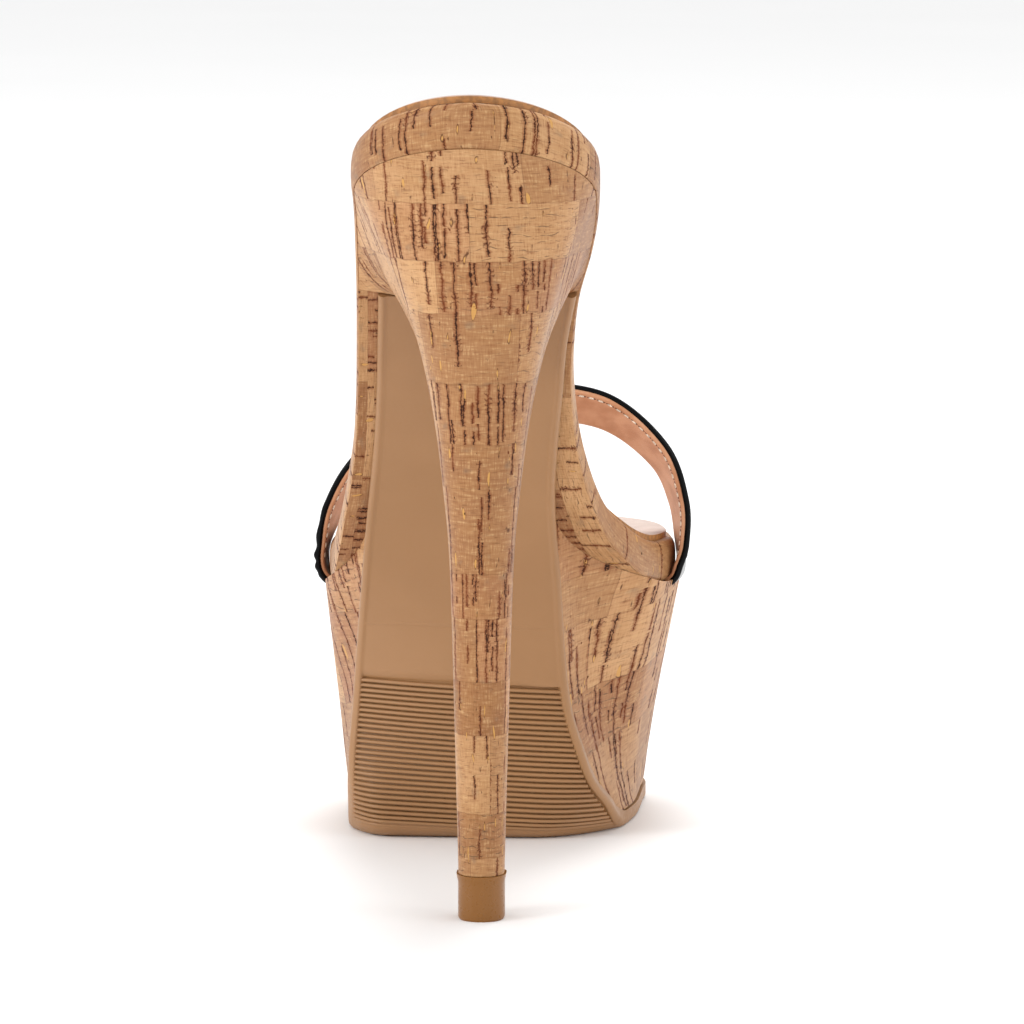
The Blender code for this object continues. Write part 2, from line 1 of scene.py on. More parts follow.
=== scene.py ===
# %% [markdown]
# # A cork-wrapped platform sandal
# The solids of this shoe come from the CAD model. They say how big each piece is and where it sits.
# This lesson dresses them: each piece is made again with finer curves, real edges and a finish.
# All sizes here are millimetres until a mesh is written, because shoemakers work in millimetres.

# %% Load the fixed frame
import math
from functools import lru_cache

import bmesh
import bpy
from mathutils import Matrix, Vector


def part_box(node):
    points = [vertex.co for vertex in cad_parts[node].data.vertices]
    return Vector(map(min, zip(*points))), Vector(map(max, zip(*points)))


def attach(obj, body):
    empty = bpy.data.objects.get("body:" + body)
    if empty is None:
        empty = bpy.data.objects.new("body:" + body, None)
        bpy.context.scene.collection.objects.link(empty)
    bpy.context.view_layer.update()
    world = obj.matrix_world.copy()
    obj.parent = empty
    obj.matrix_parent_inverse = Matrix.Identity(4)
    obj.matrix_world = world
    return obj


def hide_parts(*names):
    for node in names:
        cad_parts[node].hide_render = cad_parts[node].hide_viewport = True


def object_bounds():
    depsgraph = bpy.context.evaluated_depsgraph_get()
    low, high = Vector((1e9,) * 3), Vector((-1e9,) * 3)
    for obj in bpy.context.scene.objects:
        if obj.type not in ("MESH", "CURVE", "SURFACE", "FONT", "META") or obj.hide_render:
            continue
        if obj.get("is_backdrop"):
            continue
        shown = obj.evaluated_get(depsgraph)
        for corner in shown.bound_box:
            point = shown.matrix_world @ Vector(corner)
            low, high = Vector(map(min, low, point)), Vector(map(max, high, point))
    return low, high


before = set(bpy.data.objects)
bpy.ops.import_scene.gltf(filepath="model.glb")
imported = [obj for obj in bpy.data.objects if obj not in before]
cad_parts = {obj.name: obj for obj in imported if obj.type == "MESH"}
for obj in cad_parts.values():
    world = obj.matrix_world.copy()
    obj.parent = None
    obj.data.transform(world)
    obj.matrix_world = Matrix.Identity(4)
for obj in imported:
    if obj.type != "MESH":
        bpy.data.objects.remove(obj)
cad_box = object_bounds()
MM = 0.001
print("CAD nodes:", sorted(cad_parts))

# %% [markdown]
# ## The last of the shoe, in numbers
# A shoemaker starts from a last, a solid foot form. Its side view fixes the bend of the footbed.
# Straight runs joined by arcs describe that bend well: a tilted heel seat, a steep shank under the
# arch and a nearly level forefoot. The tables then give the outline seen from above.

# %% Sizes in millimetres
HEEL_HEIGHT = 191.0
BALL_HEIGHT = 72.5
FOREFOOT_LENGTH = 84.0
BALL_WIDTH = 87.0
SEAT_LENGTH = 46.5
SEAT_ANGLE = 23.3
SHANK_ANGLE = 50.4
SEAT_BEND_RADIUS = 60.0
BALL_BEND_RADIUS = 47.0
TOE_FALL_ANGLE = 3.0

# Walls and clearances
GAP = 0.3
FOOTBED_THICKNESS = 10.0
FOOTBED_EDGE_ROUND = 2.2
HEEL_BACK_RAKE = 4.6
LINING_THICKNESS = 1.4
LINING_INSET = 2.4
SEAT_DISH = 1.2
PLATFORM_PROUD = 1.2
PLATFORM_FLARE = 36.0

# Rounded ends of the outlines, measured along the piece
SEAT_ROUND = 37.0
TOE_ROUND = 46.0
SOLE_TOE_ROUND = 42.0
SEAT_POWER = 2.0
TOE_POWER = 2.3
HEEL_POWER = 2.1

# Sole
WAIST_THICKNESS = 2.0
TREAD_THICKNESS = 4.0
SOLE_EDGE_ROUND = 1.5
SOLE_LIP = 0.7
SOLE_BEHIND_BALL = 7.0
REAR_LEAN = 12.7
REAR_BEND_RADIUS = 40.0
GROUND_BEND_RADIUS = 7.0
SOLE_TOE_SETBACK = 5.0
TOE_SPRING_ANGLE = 15.5
TOE_SPRING_LENGTH = 28.0
TOE_BEND_RADIUS = 70.0
REAR_TURN_NEAR = 20.0
REAR_TURN_RADIUS = 132.0
REAR_TURN_TOP = 82.0
REAR_TURN_BLEND = 42.0
REAR_TURN_FOOT = 32.0
REAR_TURN_FADE = 25.0
REAR_TURN_LOST = 0.85

# Rounding of the sole's two rear corners near the ground: where it starts across, how far it
# reaches from there to the edge and how far the corner is set forward
CORNER_TOP = 26.0
MEDIAL_CORNER = (8.0, 27.0, 22.0)
LATERAL_CORNER = (28.0, 9.7, 13.0)

# Ribs across the rear face of the platform
RIB_PITCH = 1.33
RIB_TOP = 42.0

# Heel
BREAST_AT = 78.0
NECK_DROP = 1.6
NECK_BACK = 4.3
NECK_SHARE = 0.882
NECK_HALF_WIDTH = 22.4
LIFT_HEIGHT = 10.6
LIFT_BACK = 20.0
LIFT_DEPTH = 11.4
LIFT_WIDTH = 10.8
LIFT_LIP = 0.35

# Strap
STRAP_WIDTH = 13.5
STRAP_WALL = 2.2
STRAP_TUCK = 7.0
STRAP_PAST_BALL = 22.0
STRAP_BULGE = 4.7
STRAP_HEIGHT = 50.0

print("heel %.0f mm, ball %.0f mm wide" % (HEEL_HEIGHT, BALL_WIDTH))

# %% [markdown]
# ## Outlines seen from above
# A foot is not symmetrical, so each row of an outline names its outer (lateral) and its inner
# (medial) edge. Both are shares of the ball width, so that a wider shoe is wider all along.

# %% Outlines of footbed and sole
# Footbed: share of its length, then the lateral and the medial edge, before the ends are rounded
BED_OUTLINE = [
    # along, lateral, medial
    (0.000, 0.345, 0.305),
    (0.167, 0.345, 0.310),
    (0.245, 0.348, 0.294),
    (0.319, 0.353, 0.250),
    (0.395, 0.362, 0.231),
    (0.450, 0.370, 0.230),
    (0.519, 0.386, 0.245),
    (0.583, 0.413, 0.279),
    (0.628, 0.437, 0.321),
    (0.671, 0.460, 0.385),
    (0.725, 0.482, 0.448),
    (0.790, 0.497, 0.500),
    (0.850, 0.492, 0.498),
    (1.000, 0.430, 0.505),
]

# Sole sheet: share of its length from the heel breast to the toe, then as above
SOLE_OUTLINE = [
    # along, lateral, medial
    (0.000, 0.290, 0.243),
    (0.067, 0.299, 0.215),
    (0.136, 0.309, 0.200),
    (0.207, 0.324, 0.184),
    (0.276, 0.344, 0.173),
    (0.320, 0.358, 0.175),
    (0.374, 0.374, 0.186),
    (0.456, 0.398, 0.198),
    (0.510, 0.411, 0.214),
    (0.551, 0.421, 0.244),
    (0.593, 0.428, 0.283),
    (0.622, 0.430, 0.329),
    (0.660, 0.434, 0.362),
    (0.700, 0.440, 0.392),
    (0.760, 0.450, 0.404),
    (0.830, 0.446, 0.412),
    (1.000, 0.390, 0.460),
]

print("outline rows:", len(BED_OUTLINE), "of the footbed,", len(SOLE_OUTLINE), "of the sole")

# %% [markdown]
# ## Sections of the heel and the strap
# The heel is given by a few sections, one above another. The strap is given by the points of its
# rear edge, as one would measure them with a tape over the foot.

# %% Sections of heel and strap
# Heel, from the lift up: back and front edge in the side view, with heights as shares of the
# heel's height, then half of the width
HEEL_ROWS = [
    # back_y, back_share, front_y, front_share, half_width, roundness
    (20.2, 0.2356, 32.8, 0.2356, 6.2, 0.50),
    (19.2, 0.4293, 36.4, 0.4241, 7.3, 0.48),
    (17.9, 0.5236, 40.0, 0.5157, 8.8, 0.46),
    (15.5, 0.6178, 44.6, 0.5995, 11.0, 0.44),
    (12.2, 0.7120, 49.4, 0.6675, 14.2, 0.42),
    (8.2, 0.8010, 51.4, 0.7047, 18.0, 0.40),
]

# The strap's rear edge, from the lateral seam over the foot to the medial seam: across as a share
# of half the span, up as a share of the arch height above the seam, how far the edge lies behind
# STRAP_REAR, the tilt of the band and how far its front edge is drawn in
STRAP_ROWS = [
    # share across, up, back, tilt, draw_in
    (-0.988, 0.16, 0.0, 0.0, 1.1),
    (-0.948, 0.36, 0.5, 6.0, 3.6),
    (-0.800, 0.60, 2.0, 20.0, 3.6),
    (-0.500, 0.845, 4.5, 36.0, 2.4),
    (-0.110, 0.980, 7.0, 44.0, 0.8),
    (0.210, 1.000, 7.5, 45.0, -0.4),
    (0.600, 0.930, 6.0, 41.0, -1.8),
    (0.898, 0.680, 3.0, 26.0, -3.2),
    (1.007, 0.400, 0.8, 8.0, -3.4),
    (1.008, 0.180, 0.0, 0.0, -1.8),
]
print("rows:", len(HEEL_ROWS), "of the heel,", len(STRAP_ROWS), "of the strap")

# %% [markdown]
# ## Reading the tables
# A short table holds only a few sections. A smooth curve through its rows gives every section
# between them, so the walls have no corners where the rows are. The ends of the outlines are
# rounded by one formula, which works like a squashed circle.

# %% Curves through the tables
def radians(*degrees):
    """Angles in radians."""
    return [math.radians(value) for value in degrees]


def lerp(a, b, share):
    """The point or number that lies a share of the way from a to b."""
    return a + (b - a) * share


def smooth(share):
    """A soft step from 0 to 1."""
    share = min(max(share, 0.0), 1.0)
    return share * share * (3.0 - 2.0 * share)


def through(keys, values, at):
    """A smooth curve through values (numbers or vectors) at rising keys, read at one place."""
    last = len(keys) - 1
    at = min(max(at, keys[0]), keys[last])
    k = next(i for i in range(last) if at <= keys[i + 1])

    def slope(i):
        low = max(i - 1, 0)
        high = min(i + 1, last)
        return (values[high] - values[low]) * (1.0 / (keys[high] - keys[low]))

    span = keys[k + 1] - keys[k]
    f = (at - keys[k]) / span
    start = values[k] * (2 * f**3 - 3 * f**2 + 1) + slope(k) * (span * (f**3 - 2 * f**2 + f))
    end = values[k + 1] * (3 * f**2 - 2 * f**3) + slope(k + 1) * (span * (f**3 - f**2))
    return start + end


def column(table, at, index):
    """One column of an outline table, read smoothly at a share of the length."""
    return through([row[0] for row in table], [row[index] for row in table], at)


def round_end(distance, length, power):
    """The share of full width left at a distance from a rounded end."""
    if distance >= length:
        return 1.0
    inside = (length - max(distance, 0.0)) / length
    return max(1.0 - inside**power, 0.0) ** (1.0 / power)


print("width left 5 mm from the tip of the heel: %.2f" % round_end(5.0, SEAT_ROUND, SEAT_POWER))

# %% [markdown]
# ## Lines in the side view
# Straight runs with an arc at each corner give the footbed and the sole their bends. A line of this
# kind can be read at any distance along it, and at any depth below it, which is all that a bent
# piece needs to know about its side view.

# %% Side lines
class SideLine:
    """A line in the side view (Y, Z) made of straight runs with an arc at each corner."""

    def __init__(self, corners, radii):
        self.runs = []
        self.length = 0.0
        corners = [Vector(corner) for corner in corners]
        headings = []
        for a, b in zip(corners, corners[1:]):
            headings.append(math.atan2(b.y - a.y, b.x - a.x))
        position = corners[0]
        for i, radius in enumerate(radii):
            turn = headings[i + 1] - headings[i]
            tangent = radius * math.tan(abs(turn) / 2)
            straight = (corners[i + 1] - position).length - tangent
            self.add(position, headings[i], 0.0, straight)
            start, _ = self.at(self.length)
            self.add(start, headings[i], math.copysign(1 / radius, turn), radius * abs(turn))
            position, _ = self.at(self.length)
        self.add(position, headings[-1], 0.0, (corners[-1] - position).length)

    def add(self, start, heading, curvature, length):
        self.runs.append((self.length, start, heading, curvature))
        self.length += length

    def at(self, s):
        """The point and the heading at a distance along the line."""
        begin, start, heading, curvature = next(
            (run for run in reversed(self.runs) if run[0] <= s), self.runs[0])
        ahead = s - begin
        if curvature == 0.0:
            return start + Vector((math.cos(heading), math.sin(heading))) * ahead, heading
        end = heading + curvature * ahead
        step = Vector((math.sin(end) - math.sin(heading), math.cos(heading) - math.cos(end)))
        return start + step / curvature, end

    def below(self, s, depth):
        """The point at a depth under the line, measured square to it."""
        point, heading = self.at(s)
        return point + Vector((math.sin(heading), -math.cos(heading))) * depth


def first_place(low, high, passed):
    """The place between two others from which a test holds, found by halving the way."""
    for _ in range(40):
        middle = (low + high) / 2
        if passed(middle):
            high = middle
        else:
            low = middle
    return low


def crossing(p, p_angle, q, q_angle):
    """Where two straight lines in the side view cross."""
    along_p = Vector((math.cos(p_angle), math.sin(p_angle)))
    along_q = Vector((math.cos(q_angle), math.sin(q_angle)))
    between = q - p
    wedge = along_p.x * along_q.y - along_p.y * along_q.x
    reach = (between.x * along_q.y - between.y * along_q.x) / wedge
    return p + along_p * reach


# %% [markdown]
# ## The top of the footbed
# The first such line is the top of the footbed. It starts at the rim of the heel, falls to the ball
# of the foot and runs on to the toe. Most places on the shoe are measured from it.

# %% Side line of the footbed
SEAT_FRONT = HEEL_HEIGHT - SEAT_LENGTH * math.tan(math.radians(SEAT_ANGLE))
BALL_AT = SEAT_LENGTH + (SEAT_FRONT - BALL_HEIGHT) / math.tan(math.radians(SHANK_ANGLE))
SHOE_LENGTH = BALL_AT + FOREFOOT_LENGTH
SOLE_REAR = BALL_AT - SOLE_BEHIND_BALL
STRAP_REAR = BALL_AT + STRAP_PAST_BALL


def bed_line():
    """The top of the footbed from the heel rim to the toe, seen from the side."""
    toe_height = BALL_HEIGHT - FOREFOOT_LENGTH * math.tan(math.radians(TOE_FALL_ANGLE))
    corners = [(0.0, HEEL_HEIGHT), (SEAT_LENGTH, SEAT_FRONT), (BALL_AT, BALL_HEIGHT),
               (SHOE_LENGTH, toe_height)]
    return SideLine(corners, [SEAT_BEND_RADIUS, BALL_BEND_RADIUS])


BED = bed_line()
BED_UNDER = FOOTBED_THICKNESS + GAP

print("footbed length %.1f mm" % BED.length)

# %% [markdown]
# ## The outer line of the sole
# The rubber sheet leaves the heel breast, runs under the arch, bends down the back of the platform
# and turns onto the ground. One side line again describes the whole way, so that the sheet, its
# ribs and the block inside it all follow the same path.

# %% Side line of the sole
def sole_line():
    """The outer face of the sole from the heel breast to the toe, seen from the side."""
    shank, lean, toe = radians(-SHANK_ANGLE, REAR_LEAN, TOE_SPRING_ANGLE)
    breast = BED.below(BREAST_AT + 2 * GAP, BED_UNDER + WAIST_THICKNESS)
    ground = Vector((SOLE_REAR, 0.0))
    leaves = crossing(breast, shank, ground, math.pi / 2 + lean)
    spring = Vector((SHOE_LENGTH - TOE_SPRING_LENGTH, 0.0))
    ahead = TOE_SPRING_LENGTH - SOLE_TOE_SETBACK
    tip = spring + Vector((ahead, ahead * math.tan(toe)))
    return SideLine([breast, leaves, ground, spring, tip],
                    [REAR_BEND_RADIUS, GROUND_BEND_RADIUS, TOE_BEND_RADIUS])


SOLE = sole_line()
# Places along the sole line: where its rear bend starts and where it turns onto the ground
LEAVES_BED = SOLE.runs[1][0]
GROUND_TURN_START = SOLE.runs[3][0]
GROUND_TURN_END = SOLE.runs[4][0]

print("sole length %.1f mm" % SOLE.length)

# %% [markdown]
# ## Places on the footbed and on the sole
# A place on a bent piece has three numbers: how far along, how far across and how deep. Functions
# turn them into a point. The edges come from the outline tables and are asked for again and again,
# so their results are cached.

# %% Points and edges of footbed and sole
def bed_point(s, x, depth):
    """A point of the footbed: along its top line, across, and at a depth under its top face."""
    raked = s
    reach = SEAT_ROUND + HEEL_BACK_RAKE
    if s < reach:
        raked += HEEL_BACK_RAKE * (depth / FOOTBED_THICKNESS) * (1 - s / reach)**2
    side = BED.below(raked, depth)
    return Vector((x, side.x, side.y))


@lru_cache(maxsize=None)
def bed_edges(s, inset=0.0):
    """The lateral and medial edge of the footbed at a distance along it, drawn in by an inset."""
    share = s / BED.length
    lateral = -column(BED_OUTLINE, share, 1) * BALL_WIDTH
    medial = column(BED_OUTLINE, share, 2) * BALL_WIDTH
    middle = (lateral + medial) / 2
    cap = round_end(s - inset, SEAT_ROUND, SEAT_POWER)
    cap *= round_end(BED.length - inset - s, TOE_ROUND, TOE_POWER)
    half = max((medial - lateral) / 2 - inset, 0.0) * cap
    return middle - half, middle + half


@lru_cache(maxsize=None)
def sole_edges(s, inset=0.0):
    """The lateral and medial edge of the sole sheet at a distance along it."""
    share = s / SOLE.length
    lateral = -column(SOLE_OUTLINE, share, 1) * BALL_WIDTH
    medial = column(SOLE_OUTLINE, share, 2) * BALL_WIDTH
    middle = (lateral + medial) / 2
    half = (medial - lateral) / 2 - inset
    half *= round_end(SOLE.length - inset - s, SOLE_TOE_ROUND, TOE_POWER)
    return middle - half, middle + half


def across(edges, t):
    """The place across a piece, from its lateral edge at t = -1 to its medial edge at t = 1."""
    return lerp(edges[0], edges[1], (t + 1) / 2)


def sole_point(s, x, inward):
    """A point of the sole sheet: along its outer face, across, and inward from that face."""
    side = SOLE.below(s, -inward)
    turned = (REAR_TURN_NEAR - x)**2 / (2 * REAR_TURN_RADIUS)
    turned *= smooth((REAR_TURN_TOP - side.y) / REAR_TURN_BLEND)
    turned *= 1 - REAR_TURN_LOST * smooth((REAR_TURN_FOOT - side.y) / REAR_TURN_FADE)
    for toward, (start, width, depth) in ((x, MEDIAL_CORNER), (-x, LATERAL_CORNER)):
        reach = min(max((toward - start) / width, 0.0), 1.2)
        turned += depth * reach * reach * smooth((CORNER_TOP - side.y) / CORNER_TOP)
    ahead = smooth((s - GROUND_TURN_END) / (SOLE.length - GROUND_TURN_END))
    return Vector((x, side.x + turned * (1 - ahead), side.y))


def sole_thickness(s):
    """The sheet is thin under the arch and thick under the forefoot."""
    return lerp(WAIST_THICKNESS, TREAD_THICKNESS,
                smooth((s - LEAVES_BED) / (GROUND_TURN_START - LEAVES_BED)))


print("rubber from %.1f to %.1f mm thick" % (sole_thickness(0.0), sole_thickness(SOLE.length)))

# %% [markdown]
# ## Where the drawing lies in the frame
# The tables measure from the back of the heel rim. The CAD model has its origin under the middle of
# the whole shoe. The heel lift is known in both, so its box gives the shift between the two.

# %% Shift into the frame
lift_low, lift_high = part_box("heel_lift")
SHIFT = Vector(((lift_low[0] + lift_high[0]) / 2 / MM,
                lift_low[1] / MM - (LIFT_BACK - LIFT_LIP), lift_low[2] / MM))


def placed(point):
    """A point of the drawing, in millimetres, as a point of the frame, in metres."""
    return (point + SHIFT) * MM


print("shift", [round(value, 2) for value in SHIFT])

# %% [markdown]
# ## A body from a grid of stations
# Most pieces of a shoe are slabs that have been bent: they have a length, a width and a thickness.
# Such a piece is a box whose six faces are grids, and a function moves each grid point to its place.
# The same grids carry a chart in millimetres, a map of the surface on which a pattern like cork can
# be drawn at its true size. The chart is stored as a UV map.

# %% Bent slabs with a chart
CHART = "chart_mm"
WELD = 0.004


def spaced(start, end, step):
    """Evenly spaced places from start to end, no further apart than the step."""
    count = max(1, math.ceil((end - start) / step))
    return [lerp(start, end, i / count) for i in range(count + 1)]


def end_spaced(length, count):
    """Places along a rounded end, close together at its tip."""
    return [length * (1 - math.cos(math.pi / 2 * i / count)) for i in range(count)]


def lengths_along(points):
    """The distance travelled at each point of a line."""
    travelled = [0.0]
    for a, b in zip(points, points[1:]):
        travelled.append(travelled[-1] + (b - a).length)
    return travelled


def slab(name, us, ts, hs, place, chart, finishes, pick=None, sharp=40.0):
    """A closed body from three lists of stations, with its chart and its finishes."""
    shell = bmesh.new()
    layer = shell.loops.layers.uv.new(CHART)
    made = {}

    def vertex(key):
        if key not in made:
            i, j, k = key
            made[key] = shell.verts.new(placed(place(us[i], ts[j], hs[k])))
        return made[key]

    def sheet(kind, count_a, count_b, index):
        for a in range(count_a - 1):
            for b in range(count_b - 1):
                keys = [index(a, b), index(a + 1, b), index(a + 1, b + 1), index(a, b + 1)]
                face = shell.faces.new([vertex(key) for key in keys])
                face.material_index = pick(kind, *keys[0]) if pick else 0
                for loop, key in zip(face.loops, keys):
                    loop[layer].uv = chart(kind, *key)

    for k, kind in ((0, "under"), (len(hs) - 1, "over")):
        sheet(kind, len(us), len(ts), lambda a, b, k=k: (a, b, k))
    for j, kind in ((0, "lateral"), (len(ts) - 1, "medial")):
        sheet(kind, len(us), len(hs), lambda a, b, j=j: (a, j, b))
    for i, kind in ((0, "start"), (len(us) - 1, "end")):
        sheet(kind, len(ts), len(hs), lambda a, b, i=i: (i, a, b))
    bmesh.ops.remove_doubles(shell, verts=shell.verts, dist=WELD * MM)
    bmesh.ops.dissolve_degenerate(shell, dist=WELD * MM, edges=shell.edges)
    bmesh.ops.recalc_face_normals(shell, faces=shell.faces)
    mesh = bpy.data.meshes.new(name)
    shell.to_mesh(mesh)
    shell.free()
    for finish in finishes:
        mesh.materials.append(finish)
    mesh.shade_smooth()
    mesh.set_sharp_from_angle(angle=math.radians(sharp))
    body = bpy.data.objects.new(name, mesh)
    bpy.context.scene.collection.objects.link(body)
    print(name, len(mesh.polygons), "faces")
    return body


def settle(body, slot, *nodes):
    """Attach a finished piece to the root and hide the CAD nodes it is made from again. The slot is not
    used.
    """
    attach(body, "root")
    if nodes:
        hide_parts(*nodes)
    return body


# %% [markdown]
# ## Writing finishes as recipes
# A finish in Blender is a tree of nodes. Written by hand in Python it soon gets long, so a small
# helper adds one node per call and wires it up. Colours are given as they look on a screen, from 0
# to 255, and turned into the linear light values that the shader needs.

# %% A helper for node trees
def ink(red, green, blue):
    """A screen colour as linear light."""
    linear = []
    for value in (red, green, blue):
        share = value / 255
        linear.append(share / 12.92 if share < 0.04045 else ((share + 0.055) / 1.055)**2.4)
    return (*linear, 1.0)


class Recipe:
    """Builds one material, a node per step."""

    def __init__(self, name, roughness, **settings):
        self.material = bpy.data.materials.new(name)
        self.material.use_nodes = True
        self.tree = self.material.node_tree
        self.shader = self.tree.nodes["Principled BSDF"]
        self.shader.inputs["Roughness"].default_value = roughness
        for socket, value in settings.items():
            self.shader.inputs[socket.replace("_", " ")].default_value = value

    def wire(self, value, socket):
        if isinstance(value, bpy.types.NodeSocket):
            self.tree.links.new(value, socket)
        elif value is not None:
            socket.default_value = value

    def node(self, kind, inputs=(), **settings):
        made = self.tree.nodes.new("ShaderNode" + kind)
        for key, value in settings.items():
            setattr(made, key, value)
        for key, value in dict(inputs).items():
            self.wire(value, made.inputs[key])
        return made

    def math(self, operation, *values):
        made = self.tree.nodes.new("ShaderNodeMath")
        made.operation = operation
        for socket, value in zip(made.inputs, values):
            self.wire(value, socket)
        return made.outputs[0]

    def add(self, a, b):
        return self.math("ADD", a, b)

    def times(self, a, b):
        return self.math("MULTIPLY", a, b)

    def flip(self, share):
        """What a share leaves of 1."""
        return self.math("SUBTRACT", 1.0, share)

    def folded(self, value):
        """How far the fraction of a value is from a half, which marks evenly spaced lines."""
        return self.math("ABSOLUTE", self.math("SUBTRACT", self.math("FRACT", value), 0.5))

    def step(self, value, low, high, out_low=0.0, out_high=1.0):
        """A soft step from out_low to out_high as the value goes from low to high."""
        made = self.node("MapRange", {0: value, 1: low, 2: high, 3: out_low, 4: out_high},
                         interpolation_type="SMOOTHSTEP")
        return made.outputs[0]

    def chart(self):
        """The two chart coordinates in millimetres."""
        where = self.node("UVMap", uv_map=CHART)
        apart = self.node("SeparateXYZ", {0: where.outputs[0]})
        return apart.outputs[0], apart.outputs[1]

    def join(self, x, y, z=0.0):
        return self.node("CombineXYZ", {0: x, 1: y, 2: z}).outputs[0]

    def noise(self, where, scale=1.0, detail=2.0, roughness=0.5):
        made = self.node("TexNoise", {"Vector": where, "Scale": scale, "Detail": detail,
                                      "Roughness": roughness})
        return made.outputs[0]

    def dice(self, x, y, z=0.0):
        """Three fixed random numbers for each triple of whole numbers."""
        made = self.node("TexWhiteNoise", {"Vector": self.join(x, y, z)}, noise_dimensions="3D")
        apart = self.node("SeparateColor", {0: made.outputs["Color"]})
        return apart.outputs[0], apart.outputs[1], apart.outputs[2]

    def mix(self, share, a, b):
        made = self.node("Mix", data_type="RGBA")
        self.wire(share, made.inputs["Factor"])
        self.wire(a, made.inputs[6])
        self.wire(b, made.inputs[7])
        return made.outputs[2]

    def stained(self, base, *stains):
        """A base colour under a few stains, each given as a share and a screen colour."""
        for share, colour in stains:
            base = self.mix(share, base, ink(*colour))
        return base

    def colour(self, value):
        self.wire(value, self.shader.inputs["Base Color"])

    def relief(self, height, depth_mm, strength=1.0):
        made = self.node("Bump", {"Height": height, "Strength": strength, "Distance": depth_mm * MM})
        self.wire(made.outputs[0], self.shader.inputs["Normal"])

    def gloss(self, value):
        self.wire(value, self.shader.inputs["Roughness"])


# %% [markdown]
# ## Cork
# Cork fabric is thin slices of bark glued in patches onto cloth. Four things make it look real:
# patches of slightly different tint, dark wavy cracks that stop at the edge of a patch, golden
# lens-shaped inclusions with a dark rim, and a fine grain across. Each gets a cell of its own below.
# Everything is measured in millimetres on the chart, so a crack is as wide on the heel as on the
# platform. Two small helpers come first: nearly every mark starts as a noise on the chart.

# %% Noise on the chart
def centred(recipe, value, size):
    """A noise value, from 0 to 1, as a swing of plus or minus a size."""
    return recipe.times(recipe.math("SUBTRACT", value, 0.5), 2.0 * size)


def swayed(recipe, u, v, u_rate, v_rate, seed, detail=2.0):
    """Noise on the chart that is stretched along one of its axes."""
    where = recipe.join(recipe.times(u, u_rate), recipe.times(v, v_rate), seed)
    return recipe.noise(where, 1.0, detail)


print("noise helpers ready")

# %% [markdown]
# ## Cork, step one: the patches
# The slices are glued down in level rows, each row shifted against the next. Dividing the chart by
# the size of a patch and taking the whole number tells which patch a point is in. The remainder
# tells where in the patch it is. Slow noise is added first, so that no border is quite straight.

# %% Cork patches
PATCH_HEIGHT = 14.0
PATCH_WIDTH = 33.0
ROW_SHIFT = 97.0


class Patch:
    """Which cork patch each point of the chart is in, where in it, and the patch's own dice."""

    def __init__(self, recipe, u, v):
        uneven = recipe.noise(recipe.join(4.0, recipe.times(v, 0.055), 4.0), 1.0, 0.0)
        wander = swayed(recipe, u, v, 0.3, 0.3, 4.0, 1.0)
        v_cut = recipe.add(v, recipe.add(centred(recipe, uneven, 6.0), centred(recipe, wander, 0.5)))
        row_place = recipe.math("DIVIDE", v_cut, PATCH_HEIGHT)
        self.row = recipe.math("FLOOR", row_place)
        self.rise = recipe.math("FRACT", row_place)
        jump, _, _ = recipe.dice(self.row, 3.0, 5.0)
        loose = recipe.noise(recipe.join(recipe.times(u, 0.03), self.row, 6.0), 1.0, 0.0)
        u_cut = recipe.add(recipe.add(u, recipe.times(jump, ROW_SHIFT)), centred(recipe, loose, 9.0))
        column_place = recipe.math("DIVIDE", u_cut, PATCH_WIDTH)
        self.column = recipe.math("FLOOR", column_place)
        self.run = recipe.math("FRACT", column_place)
        self.tint, self.busy, self.ringed = recipe.dice(self.row, self.column, 1.0)

    def border(self, recipe):
        """The thin shade along the edges of the patches."""
        level = recipe.times(recipe.math("MINIMUM", self.rise, recipe.flip(self.rise)), PATCH_HEIGHT)
        upright = recipe.times(recipe.math("MINIMUM", self.run, recipe.flip(self.run)), PATCH_WIDTH)
        return recipe.flip(recipe.step(recipe.math("MINIMUM", level, upright), 0.03, 0.2))


print("patches of %.0f by %.0f mm" % (PATCH_WIDTH, PATCH_HEIGHT))

# %% [markdown]
# ## Cork, step two: the cracks
# A crack is an upright line in its own lane. The lanes come from the chart as the patches do, and
# dice say which lanes hold a crack, and whether it starts at the top or at the foot of its patch.
# Three noises bend it: a slow sway, a wave and a fine jag. Short rungs stand out beside some.

# %% Cork cracks
CRACK_PITCH = 3.6
RUNG_PITCH = 1.25
CRACK_WIDTHS = (0.1, 0.46)
HALO_WIDTH = 0.6


